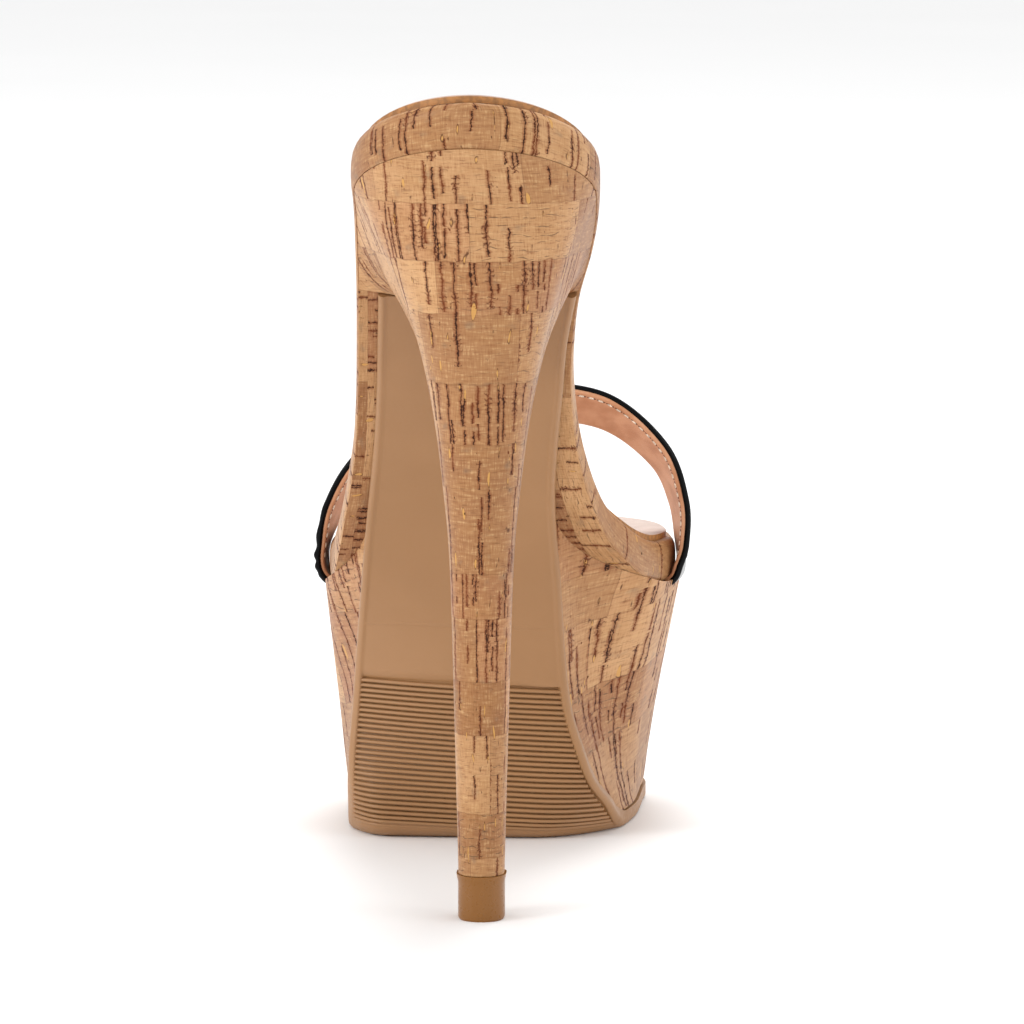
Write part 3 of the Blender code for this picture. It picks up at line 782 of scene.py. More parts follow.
def cork_cracks(recipe, u, v, patch, rise, pitch, seed, share):
    """Dark lines up a patch: the line, a soft halo round it and the strip beside it, from 0 to 1."""
    low = swayed(recipe, u, v, 0.22, 0.2, seed, 1.0)
    fine = swayed(recipe, u, v, 0.8, 1.1, seed + 3.0)
    jag = swayed(recipe, u, v, 0.6, 3.4, seed + 5.0, 1.0)
    bent = recipe.add(u, recipe.add(centred(recipe, low, 0.6), centred(recipe, fine, 0.4)))
    bent = recipe.add(bent, centred(recipe, jag, 0.32))
    scaled = recipe.math("DIVIDE", bent, pitch)
    lane = recipe.math("FLOOR", scaled)
    in_lane = recipe.math("FRACT", scaled)
    red, green, blue = recipe.dice(recipe.add(lane, seed * 17.0), patch.row, patch.column)
    middle = recipe.step(green, 0.0, 1.0, 0.3, 0.7)
    distance = recipe.times(recipe.math("ABSOLUTE", recipe.math("SUBTRACT", in_lane, middle)), pitch)
    along = recipe.join(recipe.times(lane, 3.7), recipe.times(v, 0.7), seed)
    width = recipe.step(recipe.noise(along, 1.0, 3.0, 0.7), 0.34, 0.74, *CRACK_WIDTHS)
    line = recipe.flip(recipe.step(distance, recipe.times(width, 0.4), width))
    halo = recipe.flip(recipe.step(distance, width, recipe.add(width, HALO_WIDTH)))
    there = recipe.math("GREATER_THAN", red, recipe.flip(share))
    reach = recipe.add(recipe.times(blue, 0.8), 0.3)
    from_top = recipe.math("LESS_THAN", rise, reach)
    from_foot = recipe.math("GREATER_THAN", rise, recipe.flip(reach))
    side = recipe.math("GREATER_THAN", green, 0.5)
    ends = recipe.add(recipe.times(from_top, side), recipe.times(from_foot, recipe.flip(side)))
    kept = recipe.times(there, ends)
    beside = recipe.flip(recipe.step(distance, 0.9, 1.1))
    return recipe.times(line, kept), recipe.times(halo, kept), recipe.times(beside, kept)


def cork_rungs(recipe, u, v, strip):
    """Short level marks beside some of the cracks."""
    sway = centred(recipe, swayed(recipe, u, v, 0.9, 0.4, 81.0), 1.2)
    rung = recipe.folded(recipe.add(recipe.math("DIVIDE", v, RUNG_PITCH), sway))
    rungs = recipe.times(strip, recipe.flip(recipe.step(rung, 0.08, 0.2)))
    return recipe.times(rungs, recipe.step(swayed(recipe, u, v, 0.13, 0.17, 91.0), 0.5, 0.57))


print("cracks every %.1f mm at most" % CRACK_PITCH)

# %% [markdown]
# ## Cork, step three: rings, lenses and grain
# Some slices show the level year rings of the bark, broken like strings of beads. Golden lenses with
# a dark rim come from one stretched noise, cut at two heights. The grain is two noises, one drawn
# out upright and one level, which together look like fibres.

# %% Cork rings, lenses and grain
RING_PITCH = 1.9


def cork_rings(recipe, u, v, ringed):
    """Level, broken year rings in some of the patches."""
    sway = swayed(recipe, u, v, 0.11, 0.16, 9.0)
    gap = recipe.folded(recipe.add(recipe.math("DIVIDE", v, RING_PITCH), recipe.times(sway, 2.4)))
    beads = swayed(recipe, u, v, 0.42, 0.8, 12.0, 3.0)
    rings = recipe.flip(recipe.step(gap, 0.01, recipe.step(beads, 0.42, 0.75, 0.03, 0.15)))
    rings = recipe.times(rings, recipe.step(ringed, 0.62, 0.85, 0.1, 0.8))
    return recipe.times(rings, recipe.step(beads, 0.4, 0.55))


def cork_lenses(recipe, u, v):
    """Golden inclusions and their broken dark rim."""
    lens = swayed(recipe, u, v, 0.52, 0.15, 21.0, 1.0)
    gold = recipe.step(lens, 0.7, 0.725)
    rim = recipe.times(recipe.step(lens, 0.675, 0.7), recipe.flip(gold))
    return gold, recipe.times(rim, recipe.step(swayed(recipe, u, v, 0.7, 0.7, 61.0), 0.4, 0.55))


def cork_grain(recipe, u, v):
    """Fine fibres, upright and level, as a value round nought."""
    upright = swayed(recipe, u, v, 2.6, 0.35, 2.0, 3.0)
    level = swayed(recipe, u, v, 0.22, 1.5, 7.0, 4.0)
    return recipe.add(recipe.times(recipe.math("SUBTRACT", upright, 0.5), 0.6),
                      recipe.times(recipe.math("SUBTRACT", level, 0.5), 0.7))


print("rings every %.1f mm" % RING_PITCH)

# %% [markdown]
# ## Cork, step four: colour and relief
# All marks are now laid on one another like stains, from the palest to the darkest. The same marks
# dent the surface a little and make it dull, since a crack in cork is open and dry.

# %% The cork finish
def cork_finish():
    recipe = Recipe("cork_wrap", 0.5, Specular_IOR_Level=0.16)
    u, v = recipe.chart()
    patch = Patch(recipe, u, v)
    share = recipe.step(patch.busy, 0.1, 0.95, 0.12, 0.92)
    lines, halos, strip = cork_cracks(recipe, u, v, patch, patch.rise, CRACK_PITCH, 1.0, share)
    short_rise = recipe.math("FRACT", recipe.times(patch.rise, 2.0))
    extra, extra_halo, _ = cork_cracks(recipe, u, v, patch, short_rise, CRACK_PITCH * 0.6, 2.0,
                                       recipe.times(share, 0.38))
    spots = recipe.step(swayed(recipe, u, v, 0.8, 0.5, 51.0, 3.0), 0.7, 0.74)
    dark = recipe.math("MAXIMUM", recipe.math("MAXIMUM", lines, extra), spots)
    halo = recipe.math("MAXIMUM", halos, extra_halo)
    rings = cork_rings(recipe, u, v, patch.ringed)
    gold, rim = cork_lenses(recipe, u, v)
    grain = cork_grain(recipe, u, v)
    streaks = recipe.step(swayed(recipe, u, v, 0.3, 3.6, 71.0, 3.0), 0.56, 0.68)
    cloud = recipe.step(swayed(recipe, u, v, 0.09, 0.13, 31.0, 3.0), 0.35, 0.7, 0.0, 0.55)
    smudge = recipe.step(swayed(recipe, u, v, 0.14, 0.22, 41.0), 0.6, 0.76, 0.0, 0.5)
    age = recipe.step(swayed(recipe, u, v, 0.3, 0.1, 101.0), 0.44, 0.62)

    base = recipe.stained(
        recipe.mix(patch.tint, ink(140, 94, 59), ink(194, 150, 106)),
        (recipe.step(patch.busy, 0.6, 1.0, 0.0, 0.5), (166, 112, 78)),
        (cloud, (166, 120, 76)),
        (recipe.step(grain, -0.24, 0.0, 0.72, 0.0), (132, 84, 50)),
        (recipe.step(grain, 0.0, 0.24, 0.0, 0.72), (198, 158, 112)),
        (smudge, (122, 100, 80)),
        (recipe.times(patch.border(recipe), 0.35), (100, 62, 36)),
        (recipe.times(rings, 0.85), (72, 54, 42)),
        (recipe.times(streaks, 0.42), (98, 60, 36)),
        (recipe.times(halo, 0.6), (124, 66, 34)),
        (recipe.times(gold, 0.85), (196, 146, 80)),
        (recipe.times(rim, 0.85), (78, 42, 22)),
        (recipe.times(cork_rungs(recipe, u, v, strip), 0.8), (92, 46, 24)),
    )
    crack_ink = recipe.mix(age, ink(44, 20, 11), ink(104, 52, 26))
    recipe.colour(recipe.mix(recipe.times(dark, 0.96), base, crack_ink))
    dents = recipe.math("MAXIMUM", dark, recipe.times(rings, 0.4))
    height = recipe.add(recipe.times(grain, 0.3), recipe.flip(dents))
    recipe.relief(recipe.add(height, recipe.times(patch.tint, 0.15)), 0.12, 0.6)
    recipe.gloss(recipe.step(dents, 0.0, 1.0, 0.42, 0.85))
    return recipe.material


cork = cork_finish()
print("cork:", len(cork.node_tree.nodes), "nodes")

# %% [markdown]
# ## Rubber, patent leather and lining
# The outsole is tan rubber with a satin skin and a faint mould grain. The strap is patent leather,
# which is black with a clear hard coat. Its lining and the sock are thin smooth leathers, and the
# cut edge of the sock shows the brown core of the board.

# %% The plainer finishes
def fine_grain(recipe, scale, seed):
    """Even fine noise over the piece, read from its own place in the shoe."""
    where = recipe.node("TexCoord").outputs["Object"]
    moved = recipe.node("Mapping", {"Vector": where, "Location": (seed, seed, seed)}).outputs[0]
    return recipe.noise(moved, scale, 3.0)


def rubber_finish(name, light, dark, roughness, relief_mm):
    recipe = Recipe(name, roughness, Specular_IOR_Level=0.45)
    broad = fine_grain(recipe, 22.0, 0.3)
    fine = fine_grain(recipe, 900.0, 0.7)
    recipe.colour(recipe.mix(recipe.step(broad, 0.3, 0.7), ink(*dark), ink(*light)))
    recipe.relief(fine, relief_mm, 0.5)
    recipe.gloss(recipe.step(fine, 0.3, 0.7, roughness - 0.04, roughness + 0.08))
    return recipe.material


def patent_finish():
    recipe = Recipe("patent_black", 0.2, Coat_Weight=0.1, Coat_Roughness=0.03, Specular_IOR_Level=0.03)
    broad = fine_grain(recipe, 150.0, 0.1)
    recipe.colour(recipe.mix(recipe.step(broad, 0.3, 0.7), ink(4, 4, 5), ink(9, 9, 10)))
    recipe.relief(broad, 0.05, 0.35)
    return recipe.material


def leather_finish(name, light, dark, scale):
    recipe = Recipe(name, 0.5, Specular_IOR_Level=0.4, Sheen_Weight=0.15)
    broad = fine_grain(recipe, 190.0, 0.2)
    pores = recipe.node("TexVoronoi", {"Scale": scale}).outputs["Distance"]
    recipe.colour(recipe.mix(recipe.step(broad, 0.3, 0.7), ink(*dark), ink(*light)))
    recipe.relief(pores, 0.05, 0.4)
    recipe.gloss(recipe.step(pores, 0.0, 0.8, 0.6, 0.45))
    return recipe.material


def plain_finish(name, colour, roughness, scale=700.0):
    recipe = Recipe(name, roughness)
    fine = fine_grain(recipe, scale, 0.5)
    base = ink(*colour)
    dark = ink(*[value * 0.8 for value in colour])
    recipe.colour(recipe.mix(recipe.step(fine, 0.35, 0.65), dark, base))
    recipe.relief(fine, 0.04, 0.4)
    return recipe.material


sole_rubber = rubber_finish("sole_rubber", (158, 116, 76), (150, 109, 70), 0.42, 0.02)
lift_rubber = rubber_finish("lift_rubber", (132, 84, 26), (126, 79, 23), 0.3, 0.006)
patent = patent_finish()
lining = leather_finish("nude_lining", (208, 152, 114), (186, 126, 86), 2300.0)
sock = leather_finish("sock_leather", (202, 178, 165), (190, 165, 151), 1900.0)
board_edge = plain_finish("board_edge", (172, 116, 60), 0.6)
# The brown of the needle holes is painted shade, the dark of the dent round each stitch.
hole_shade = plain_finish("hole_shade", (122, 70, 42), 0.7)
thread_pale = plain_finish("thread_pale", (244, 226, 204), 0.6, 2500.0)
thread_black = plain_finish("thread_black", (20, 18, 18), 0.5, 2500.0)
print("finishes:", len(bpy.data.materials))

# %% [markdown]
# ## The footbed
# The footbed is a board about 10 mm thick, wrapped in cork, that carries the foot from heel to toe.
# Its edges are rounded where the cork turns over, and its top is hollowed slightly so that the heel
# sits in it. It is a bent slab, so the slab helper makes it. The chart runs round the board from the
# middle of the heel, so that the cracks cross its edge as they do on the shoe.

# %% Footbed
def dish(s, x):
    """How far the footbed's top is hollowed at one place, nothing at its rim."""
    lateral, medial = bed_edges(s, FOOTBED_EDGE_ROUND)
    half = max((medial - lateral) / 2, 1.0)
    reach = min(abs(x - (lateral + medial) / 2) / half, 1.0)
    return SEAT_DISH * (1 - reach * reach) * smooth(min(s, BED.length - s) / SEAT_ROUND)


def along_bed(inset, step, tips=12):
    """Stations along the footbed, from the rounded heel to the rounded toe."""
    heel = [inset + place for place in end_spaced(SEAT_ROUND, tips)]
    toe = [BED.length - inset - place for place in end_spaced(TOE_ROUND, tips + 2)]
    middle = spaced(inset + SEAT_ROUND, BED.length - inset - TOE_ROUND, step)
    return heel + middle + toe[::-1]


LOWER_EDGE_CRISP = 0.7


def bed_place(s, t, h):
    away = abs(2 * h - 1)
    inset = FOOTBED_EDGE_ROUND * (1 - math.sqrt(1 - away**3)) * (1 - LOWER_EDGE_CRISP * (1 - h))
    lateral, medial = bed_edges(s)
    drawn = min(inset, 0.3 * (medial - lateral))
    x = across((lateral + drawn, medial - drawn), t)
    ahead = max(0.0, 1 - s / SEAT_ROUND) - max(0.0, 1 - (BED.length - s) / SEAT_ROUND)
    s += inset * ahead
    return bed_point(s, x, FOOTBED_THICKNESS * (1 - h) + h * dish(s, x))


def make_footbed():
    us = along_bed(0.0, 2.5, 16)
    ts = spaced(-1, 1, 0.1)
    hs = [0, 0.04, 0.1, 0.2, 0.35, 0.5, 0.65, 0.8, 0.9, 0.96, 1]
    round_way = {side: lengths_along([bed_place(s, side, 0.5) for s in us]) for side in (-1, 1)}
    deep = lengths_along([bed_place(BED.length / 2, 1, h) for h in hs])

    def chart(kind, i, j, k):
        if kind in ("lateral", "medial"):
            side = -1 if kind == "lateral" else 1
            return side * round_way[side][i] + 7.0, deep[k] + 0.3
        return us[i], ts[j] * 40 + (500 if kind == "under" else 300)

    return slab("footbed_board", us, ts, hs, bed_place, chart, [cork])


footbed_board = settle(make_footbed(), "cork", "footbed")

# %% [markdown]
# ## The sock lining
# A thin leather sheet is glued onto the footbed, a little inside its rim. From behind one sees only
# its brown cut edge round the heel, and its pale face between the strap and the toe. It is the same
# bent slab, only thinner, with one finish on its edge and another on its face.

# %% Sock lining
CURL_START = 0.85
CURL_IN = 0.35
LINING_SINK = 0.05


def make_sock_lining():
    us = along_bed(LINING_INSET, 3.0, 16)
    ts = spaced(-1, 1, 0.125)
    hs = [0, 0.3, CURL_START, 1]

    def place(s, t, h):
        lateral, medial = bed_edges(s, LINING_INSET)
        curl = CURL_IN * max(0.0, (h - CURL_START) / (1 - CURL_START))
        x = across((lateral, medial), t)
        x -= math.copysign(min(curl, 0.2 * (medial - lateral)), t) if abs(t) == 1 else 0.0
        rise = GAP + LINING_THICKNESS - LINING_SINK
        return bed_point(s, x, dish(s, x) - LINING_SINK - rise * h)

    def chart(kind, i, j, k):
        return us[i], ts[j] * 38

    def pick(kind, i, j, k):
        return 1 if kind in ("lateral", "medial", "start", "end") and k < 2 else 0

    return slab("sock_sheet", us, ts, hs, place, chart, [sock, board_edge], pick)


sock_sheet = settle(make_sock_lining(), "lining_leather", "sock_lining")

# %% [markdown]
# ## The platform
# Under the forefoot the shoe stands on a light block, also wrapped in cork. Its top has the outline
# of the footbed and its foot has the outline of the sole, so each wall is drawn in toward the
# ground. Its chart runs straight along each side and by angle round the toe, as the wrap does on
# the real block, and its rows rise a little toward the toe.

# %% Platform
SEAM_CLOSED = 0.2
TIP_OPENS = 1.3
PLATFORM_CORNER_AT = (GROUND_TURN_START + GROUND_TURN_END) / 2
PLATFORM_TIP = LEAVES_BED + math.sqrt(2 * REAR_BEND_RADIUS * TIP_OPENS)
tip_side = SOLE.below(PLATFORM_TIP, -sole_thickness(PLATFORM_TIP) - GAP)
TOP_REAR = min((abs(BED.below(s, BED_UNDER).y - tip_side.y - 1.0), s)
               for s in spaced(BREAST_AT, BED.length * 0.75, 0.25))[1]


def platform_top(u, t):
    s = lerp(TOP_REAR, BED.length, u)
    lateral, medial = bed_edges(s)
    proud = PLATFORM_PROUD * round_end(BED.length - s, TOE_ROUND, TOE_POWER)
    flared = smooth((s - TOP_REAR) / PLATFORM_FLARE)
    rear_lateral, rear_medial = sole_edges(PLATFORM_TIP, SOLE_LIP)
    lateral = lerp(rear_lateral, lateral - proud, flared)
    medial = lerp(rear_medial, medial + proud, flared)
    return bed_point(s, across((lateral, medial), t), BED_UNDER - SEAM_CLOSED)


def platform_wall(s, t):
    """A point of the block on the inner face of the sole."""
    return sole_point(s, across(sole_edges(s, SOLE_LIP), t), sole_thickness(s) + GAP)


def platform_foot(u, t):
    return platform_wall(lerp(PLATFORM_CORNER_AT, SOLE.length - SOLE_LIP, u), t)


def platform_rear(t, h):
    return platform_wall(lerp(PLATFORM_CORNER_AT, PLATFORM_TIP, h), t)


def platform_place(u, t, h):
    straight = lerp(platform_foot(u, t), platform_top(u, t), h)
    edge = lerp(platform_foot(0, t), platform_top(0, t), h)
    bend = platform_rear(t, h) - edge
    if h in (0, 1):
        bend = Vector((0, 0, 0))
    return straight + bend * (1 - u)**3


print("platform from %.1f mm along the footbed" % TOP_REAR)

# %% [markdown]
# ## The platform's mesh and chart
# The stations lie close together where the wall turns, at the rear corners and round the toe.

# %% Platform mesh
TOE_CENTRE = 168.0
TOE_RADIUS = 43.0
PLATFORM_CHART = 0.8
ROW_SLOPE = 0.16


def make_platform():
    toe = [1 - 0.42 * (1 - math.cos(math.pi / 2 * i / 22)) for i in range(22)]
    us = [0.0, 0.01, 0.02, 0.035, 0.05, 0.075] + spaced(0.1, 0.57, 0.025) + toe[::-1]
    ts = [-1, -0.98, -0.95, -0.92, -0.89, -0.86, -0.8] + spaced(-0.7, 0.7, 0.1)
    ts += [0.8, 0.86, 0.89, 0.92, 0.95, 0.98, 1]
    hs = spaced(0, 1, 0.05)

    def round_toe(point, side):
        """Distance round the wall: straight along the side, then by angle round the toe."""
        ahead = point.y - TOE_CENTRE
        if ahead > 0:
            ahead = math.atan2(ahead, max(abs(point.x), 0.01)) * TOE_RADIUS
        return ahead if side < 0 else math.pi * TOE_RADIUS - ahead

    def chart(kind, i, j, k):
        point = platform_place(us[i], ts[j], hs[k])
        if kind in ("lateral", "medial"):
            along = round_toe(point, -1 if kind == "lateral" else 1)
            level = PLATFORM_CHART * (along * ROW_SLOPE + point.z)
            return PLATFORM_CHART * (along - point.z * ROW_SLOPE) + 900.0, level + 4.0
        return point.x + 640.0, point.z if kind in ("start", "end") else point.y

    return slab("platform_block", us, ts, hs, platform_place, chart, [cork], sharp=50.0)


platform_block = settle(make_platform(), "cork", "platform")

# %% [markdown]
# ## The outsole
# The sole is one long moulded rubber sheet. Both its long edges end in a rounded bead, and the field
# between them lies a little lower. On the back of the platform the field carries fine level ribs,
# and a thin parting line crosses it above them. The sheet is a slab once more. The ribs repeat, so
# Geometry Nodes make them afterwards.

# %% Bead, parting line and rib bed
SOLE_BEAD = 2.0
SOLE_BEAD_RISE = 0.35
PARTING_LINE = 55.0
PARTING_RISE = 0.16
RIB_BED_DEPTH = 1.0
RIB_ROWS = 29
RIB_SINK = 0.5
RIB_EDGE = 2.1
RIB_DIPS = (2.0, 5.0)
RIB_WIDTH = 0.96
RIB_HEIGHT = 1.1


RIBS_START = GROUND_TURN_START - (RIB_TOP - GROUND_BEND_RADIUS)
RIBS_END = RIBS_START + RIB_ROWS * RIB_PITCH
PARTING_AT = first_place(LEAVES_BED, GROUND_TURN_START, lambda s: SOLE.at(s)[0].y <= PARTING_LINE)


def rib_dip(s, x):
    """How much lower a rib runs at one place than at the lateral edge."""
    share = min(max((s - RIBS_START) / (RIBS_END - RIBS_START), 0.0), 1.0)
    from_lateral = (x - sole_edges(s)[0]) / BALL_WIDTH
    return from_lateral * lerp(*RIB_DIPS, share) - RIB_DIPS[0] * 0.5


def field_depth(s, x, from_edge):
    """How far the outer face is sunk at one place: the field, the rib bed and the parting line."""
    inside = smooth((from_edge - SOLE_BEAD * 0.55) / (SOLE_BEAD * 0.6))
    depth = SOLE_BEAD_RISE * inside
    row = s - rib_dip(s, x)
    in_ribs = smooth((row - RIBS_START + 0.4) / 0.3) * smooth((RIBS_END + 0.4 - row) / 3.0)
    depth += RIB_BED_DEPTH * in_ribs * smooth((from_edge - RIB_EDGE + 0.5) / 1.0)
    depth -= PARTING_RISE * inside * max(0.0, 1 - abs(s - PARTING_AT) / 0.35)
    return depth


print("ribs from %.1f to %.1f mm along the sole" % (RIBS_START, RIBS_END))

# %% [markdown]
# ## The sheet itself
# Its columns are close together near both edges, where the bead is rounded, and its rows are close
# where something crosses it: the parting line, the start of the ribs and the turn onto the ground.

# %% Outsole sheet
FIELD_START = 0.08
BEAD_SQUEEZE = 0.45


def make_outsole():
    rows = spaced(0.0, LEAVES_BED, 4.0) + spaced(LEAVES_BED, PARTING_AT - 0.7, 1.6)[1:]
    rows += [PARTING_AT - 0.35, PARTING_AT, PARTING_AT + 0.35, PARTING_AT + 0.7]
    rows += spaced(PARTING_AT + 1.2, RIBS_START - 0.6, 1.5)
    rows += spaced(RIBS_START - 0.3, RIBS_START + 4.0, 0.3)
    rows += spaced(RIBS_START + 5.0, GROUND_TURN_START, 1.2)
    rows += spaced(GROUND_TURN_START, GROUND_TURN_END, 0.6)[1:]
    rows += spaced(GROUND_TURN_END, SOLE.length - SOLE_TOE_ROUND, 3.0)[1:]
    rows += [SOLE.length - place for place in end_spaced(SOLE_TOE_ROUND, 22)[::-1]]
    # distances in from an edge, then shares of the width in the middle
    inward = [0.0, 0.12, 0.35, 0.7, 1.1, 1.4, 1.7, 2.0, 2.3, 2.6, 2.9, 3.4]
    columns = [(-1, place) for place in inward]
    columns += [(0, share) for share in spaced(FIELD_START, 1 - FIELD_START, 0.04)]
    columns += [(1, place) for place in inward[::-1]]
    hs = [0, 0.08, 0.2, 0.4, 0.75, 1]

    def place(s, column, h):
        side, value = column
        lateral, medial = sole_edges(s)
        width = medial - lateral
        squeeze = min(1.0, BEAD_SQUEEZE * width / inward[-1])
        if side == 0:
            middle = (value - FIELD_START) / (1 - 2 * FIELD_START)
            from_edge = 99.0 if squeeze == 1.0 else inward[-1] * squeeze
            x = lerp(lateral + inward[-1] * squeeze, medial - inward[-1] * squeeze, middle)
        else:
            from_edge = value * squeeze
            x = lateral + from_edge if side < 0 else medial - from_edge
        edge = max(0.0, 1 - from_edge / SOLE_EDGE_ROUND)
        rounding = SOLE_EDGE_ROUND * 0.8 * (1 - math.sqrt(max(0.0, 1 - edge * edge)))
        thick = sole_thickness(s)
        ground = smooth((s - GROUND_TURN_START) / (GROUND_TURN_END - GROUND_TURN_START))
        outer = rounding + field_depth(s, x, from_edge) * (1 - ground)
        return sole_point(s, x, lerp(min(outer, thick * 0.8), thick, h))

    def chart(kind, i, j, k):
        return rows[i], columns[j][0] * 40 + columns[j][1]

    return slab("outsole_sheet", rows, columns, hs, place, chart, [sole_rubber], sharp=60.0)


outsole_sheet = settle(make_outsole(), "outsole_rubber", "outsole")

# %% [markdown]
# ## Ribs by Geometry Nodes
# Each rib is a rounded bar that follows the curved rear face from bead to bead. The script draws
# only the way of each bar, as a row of points joined by edges. A small node tree turns every way
# into a curve, sweeps a profile along it and gives it the rubber finish. Its inputs name the width
# and the height of a rib, so both can be changed in one place.

# %% The rib tree
def guide_lines(name, lines):
    """A mesh that holds only lines: the ways that a node tree will follow."""
    vertices, edges = [], []
    for line in lines:
        first = len(vertices)
        vertices.extend(placed(point) for point in line)
        edges.extend((first + i, first + i + 1) for i in range(len(line) - 1))
    mesh = bpy.data.meshes.new(name)
    mesh.from_pydata(vertices, edges, [])
    guide = bpy.data.objects.new(name, mesh)
    bpy.context.scene.collection.objects.link(guide)
    return guide


class NodeTree:
    """A Geometry Nodes tree with named inputs."""

    def __init__(self, name, sizes):
        self.group = bpy.data.node_groups.new(name, "GeometryNodeTree")
        self.sockets = {}
        face = self.group.interface
        face.new_socket("Geometry", in_out="INPUT", socket_type="NodeSocketGeometry")
        for label, value in sizes.items():
            socket = face.new_socket(label, in_out="INPUT", socket_type="NodeSocketFloat")
            socket.default_value = value
            self.sockets[label] = socket.identifier
        face.new_socket("Geometry", in_out="OUTPUT", socket_type="NodeSocketGeometry")
        self.inlet = self.group.nodes.new("NodeGroupInput")
        self.outlet = self.group.nodes.new("NodeGroupOutput")

    def node(self, kind, inputs=(), **settings):
        made = self.group.nodes.new(kind)
        for key, value in settings.items():
            setattr(made, key, value)
        for key, value in dict(inputs).items():
            if isinstance(value, bpy.types.NodeSocket):
                self.group.links.new(value, made.inputs[key])
            else:
                made.inputs[key].default_value = value
        return made

    def close(self, geometry, finish):
        """Realize the instances, give the finish and end the tree."""
        real = self.node("GeometryNodeRealizeInstances", {"Geometry": geometry})
        painted = self.node("GeometryNodeSetMaterial", {"Geometry": real.outputs[0], "Material": finish})
        self.group.links.new(painted.outputs[0], self.outlet.inputs[0])

    def grow(self, guide, name, values):
        """Run the tree on a guide and keep the result as a plain mesh."""
        modifier = guide.modifiers.new(name, "NODES")
        modifier.node_group = self.group
        for label, value in values.items():
            modifier[self.sockets[label]] = value
        bpy.context.view_layer.update()
        shown = guide.evaluated_get(bpy.context.evaluated_depsgraph_get())
        mesh = bpy.data.meshes.new_from_object(shown)
        mesh.name = name
        grown = bpy.data.objects.new(name, mesh)
        bpy.context.scene.collection.objects.link(grown)
        guide.modifiers.remove(modifier)
        bpy.data.objects.remove(guide)
        print(name, len(mesh.polygons), "faces")
        return grown


def bar_tree(finish):
    """Sweeps a rounded bar along every guide line."""
    tree = NodeTree("rounded_bars", {"Bar Width": 0.0008, "Bar Height": 0.0005})
    ways = tree.node("GeometryNodeMeshToCurve", {"Mesh": tree.inlet.outputs["Geometry"]})
    profile = tree.node("GeometryNodeCurvePrimitiveCircle", {"Resolution": 8, "Radius": 0.5})
    size = tree.node("ShaderNodeCombineXYZ", {0: tree.inlet.outputs["Bar Height"],
                                               1: tree.inlet.outputs["Bar Width"], 2: 1.0})
    shaped = tree.node("GeometryNodeTransform",
                       {"Geometry": profile.outputs[0], "Scale": size.outputs[0]})
    sweeping = {"Curve": ways.outputs[0], "Profile Curve": shaped.outputs[0], "Fill Caps": True}
    swept = tree.node("GeometryNodeCurveToMesh", sweeping)
    smooth_shade = tree.node("GeometryNodeSetShadeSmooth", {"Geometry": swept.outputs[0]})
    tree.close(smooth_shade.outputs[0], finish)
    return tree


def make_ribs():
    lines = []
    for k in range(RIB_ROWS):
        s = RIBS_START + (k + 0.7) * RIB_PITCH
        lateral, medial = sole_edges(s)
        xs = spaced(lateral + RIB_EDGE - 0.4, medial - RIB_EDGE + 0.4, 1.5)
        lines.append([sole_point(s + rib_dip(s, x), x, SOLE_BEAD_RISE + RIB_SINK) for x in xs])
    return bar_tree(sole_rubber).grow(guide_lines("rib_ways", lines), "sole_ribs",
                                      {"Bar Width": RIB_WIDTH * MM, "Bar Height": RIB_HEIGHT * MM})


sole_ribs = settle(make_ribs(), "outsole_rubber")

# %% [markdown]
# ## The heel
# A tall slim heel is a moulded plastic column under a cork skin. Low down its section is nearly
# round. It opens upward in one sweep to the outline of the seat, and its front is cut away in a
# curve, the breast. Sections from the table are joined by smooth curves, and the last one is the
# seat itself. The chart wraps round the back, with height as its second axis.

# %% Heel sections
BREAST_TAPER = 0.64
BREAST_FROM = 0.7
SEAT_SEAM_CLOSED = 0.15
SEAT_INSET = 0.9


def heel_section(row, q, t):
    """A point of one heel section: q from its back to its front, t from side to side."""
    back_y, back_share, front_y, front_share, half, roundness = row
    width = half * round_end(q, roundness, HEEL_POWER)
    front = max(0.0, (q - BREAST_FROM) / (1 - BREAST_FROM))
    width *= 1 - BREAST_TAPER * roundness * front**2.2
    drift = (bed_edges(BREAST_AT)[0] + bed_edges(BREAST_AT)[1]) / 2
    x = drift * smooth((half - LIFT_WIDTH) / SEAT_ROUND) + t * width
    return Vector((x, lerp(back_y, front_y, q), lerp(back_share, front_share, q) * HEEL_HEIGHT))


def lift_row(height, extra):
    """The section of the lift at one height."""
    share = height / HEEL_HEIGHT
    return (LIFT_BACK - extra, share, LIFT_BACK + LIFT_DEPTH + extra, share,
            LIFT_WIDTH / 2 + extra, 0.5)


def heel_sections():
    breast = BED.below(BREAST_AT - GAP, BED_UNDER + WAIST_THICKNESS + NECK_DROP)
    neck = (NECK_BACK, NECK_SHARE, breast.x, breast.y / HEEL_HEIGHT, NECK_HALF_WIDTH, 0.37)
    return [lift_row(LIFT_HEIGHT + GAP * 0.3, -0.1)] + HEEL_ROWS + [neck]


def seat_point(q, t):
    s = q * BREAST_AT
    lateral, medial = bed_edges(s, 0.0)
    inset = min(SEAT_INSET, 0.3 * (medial - lateral))
    return bed_point(s, across((lateral + inset, medial - inset), t), BED_UNDER - SEAT_SEAM_CLOSED)


def heel_place(q, t, level):
    points = [heel_section(row, q, t) for row in heel_sections()] + [seat_point(q, t)]
    return through(list(range(len(points))), points, level)


print("heel sections:", len(heel_sections()))

# %% [markdown]
# ## The heel's mesh and chart
# Each section is walked from the middle of its back, which gives the chart's first axis. Low down
# the heel is thin, so the chart is widened there a little and the pattern doesn't crowd.

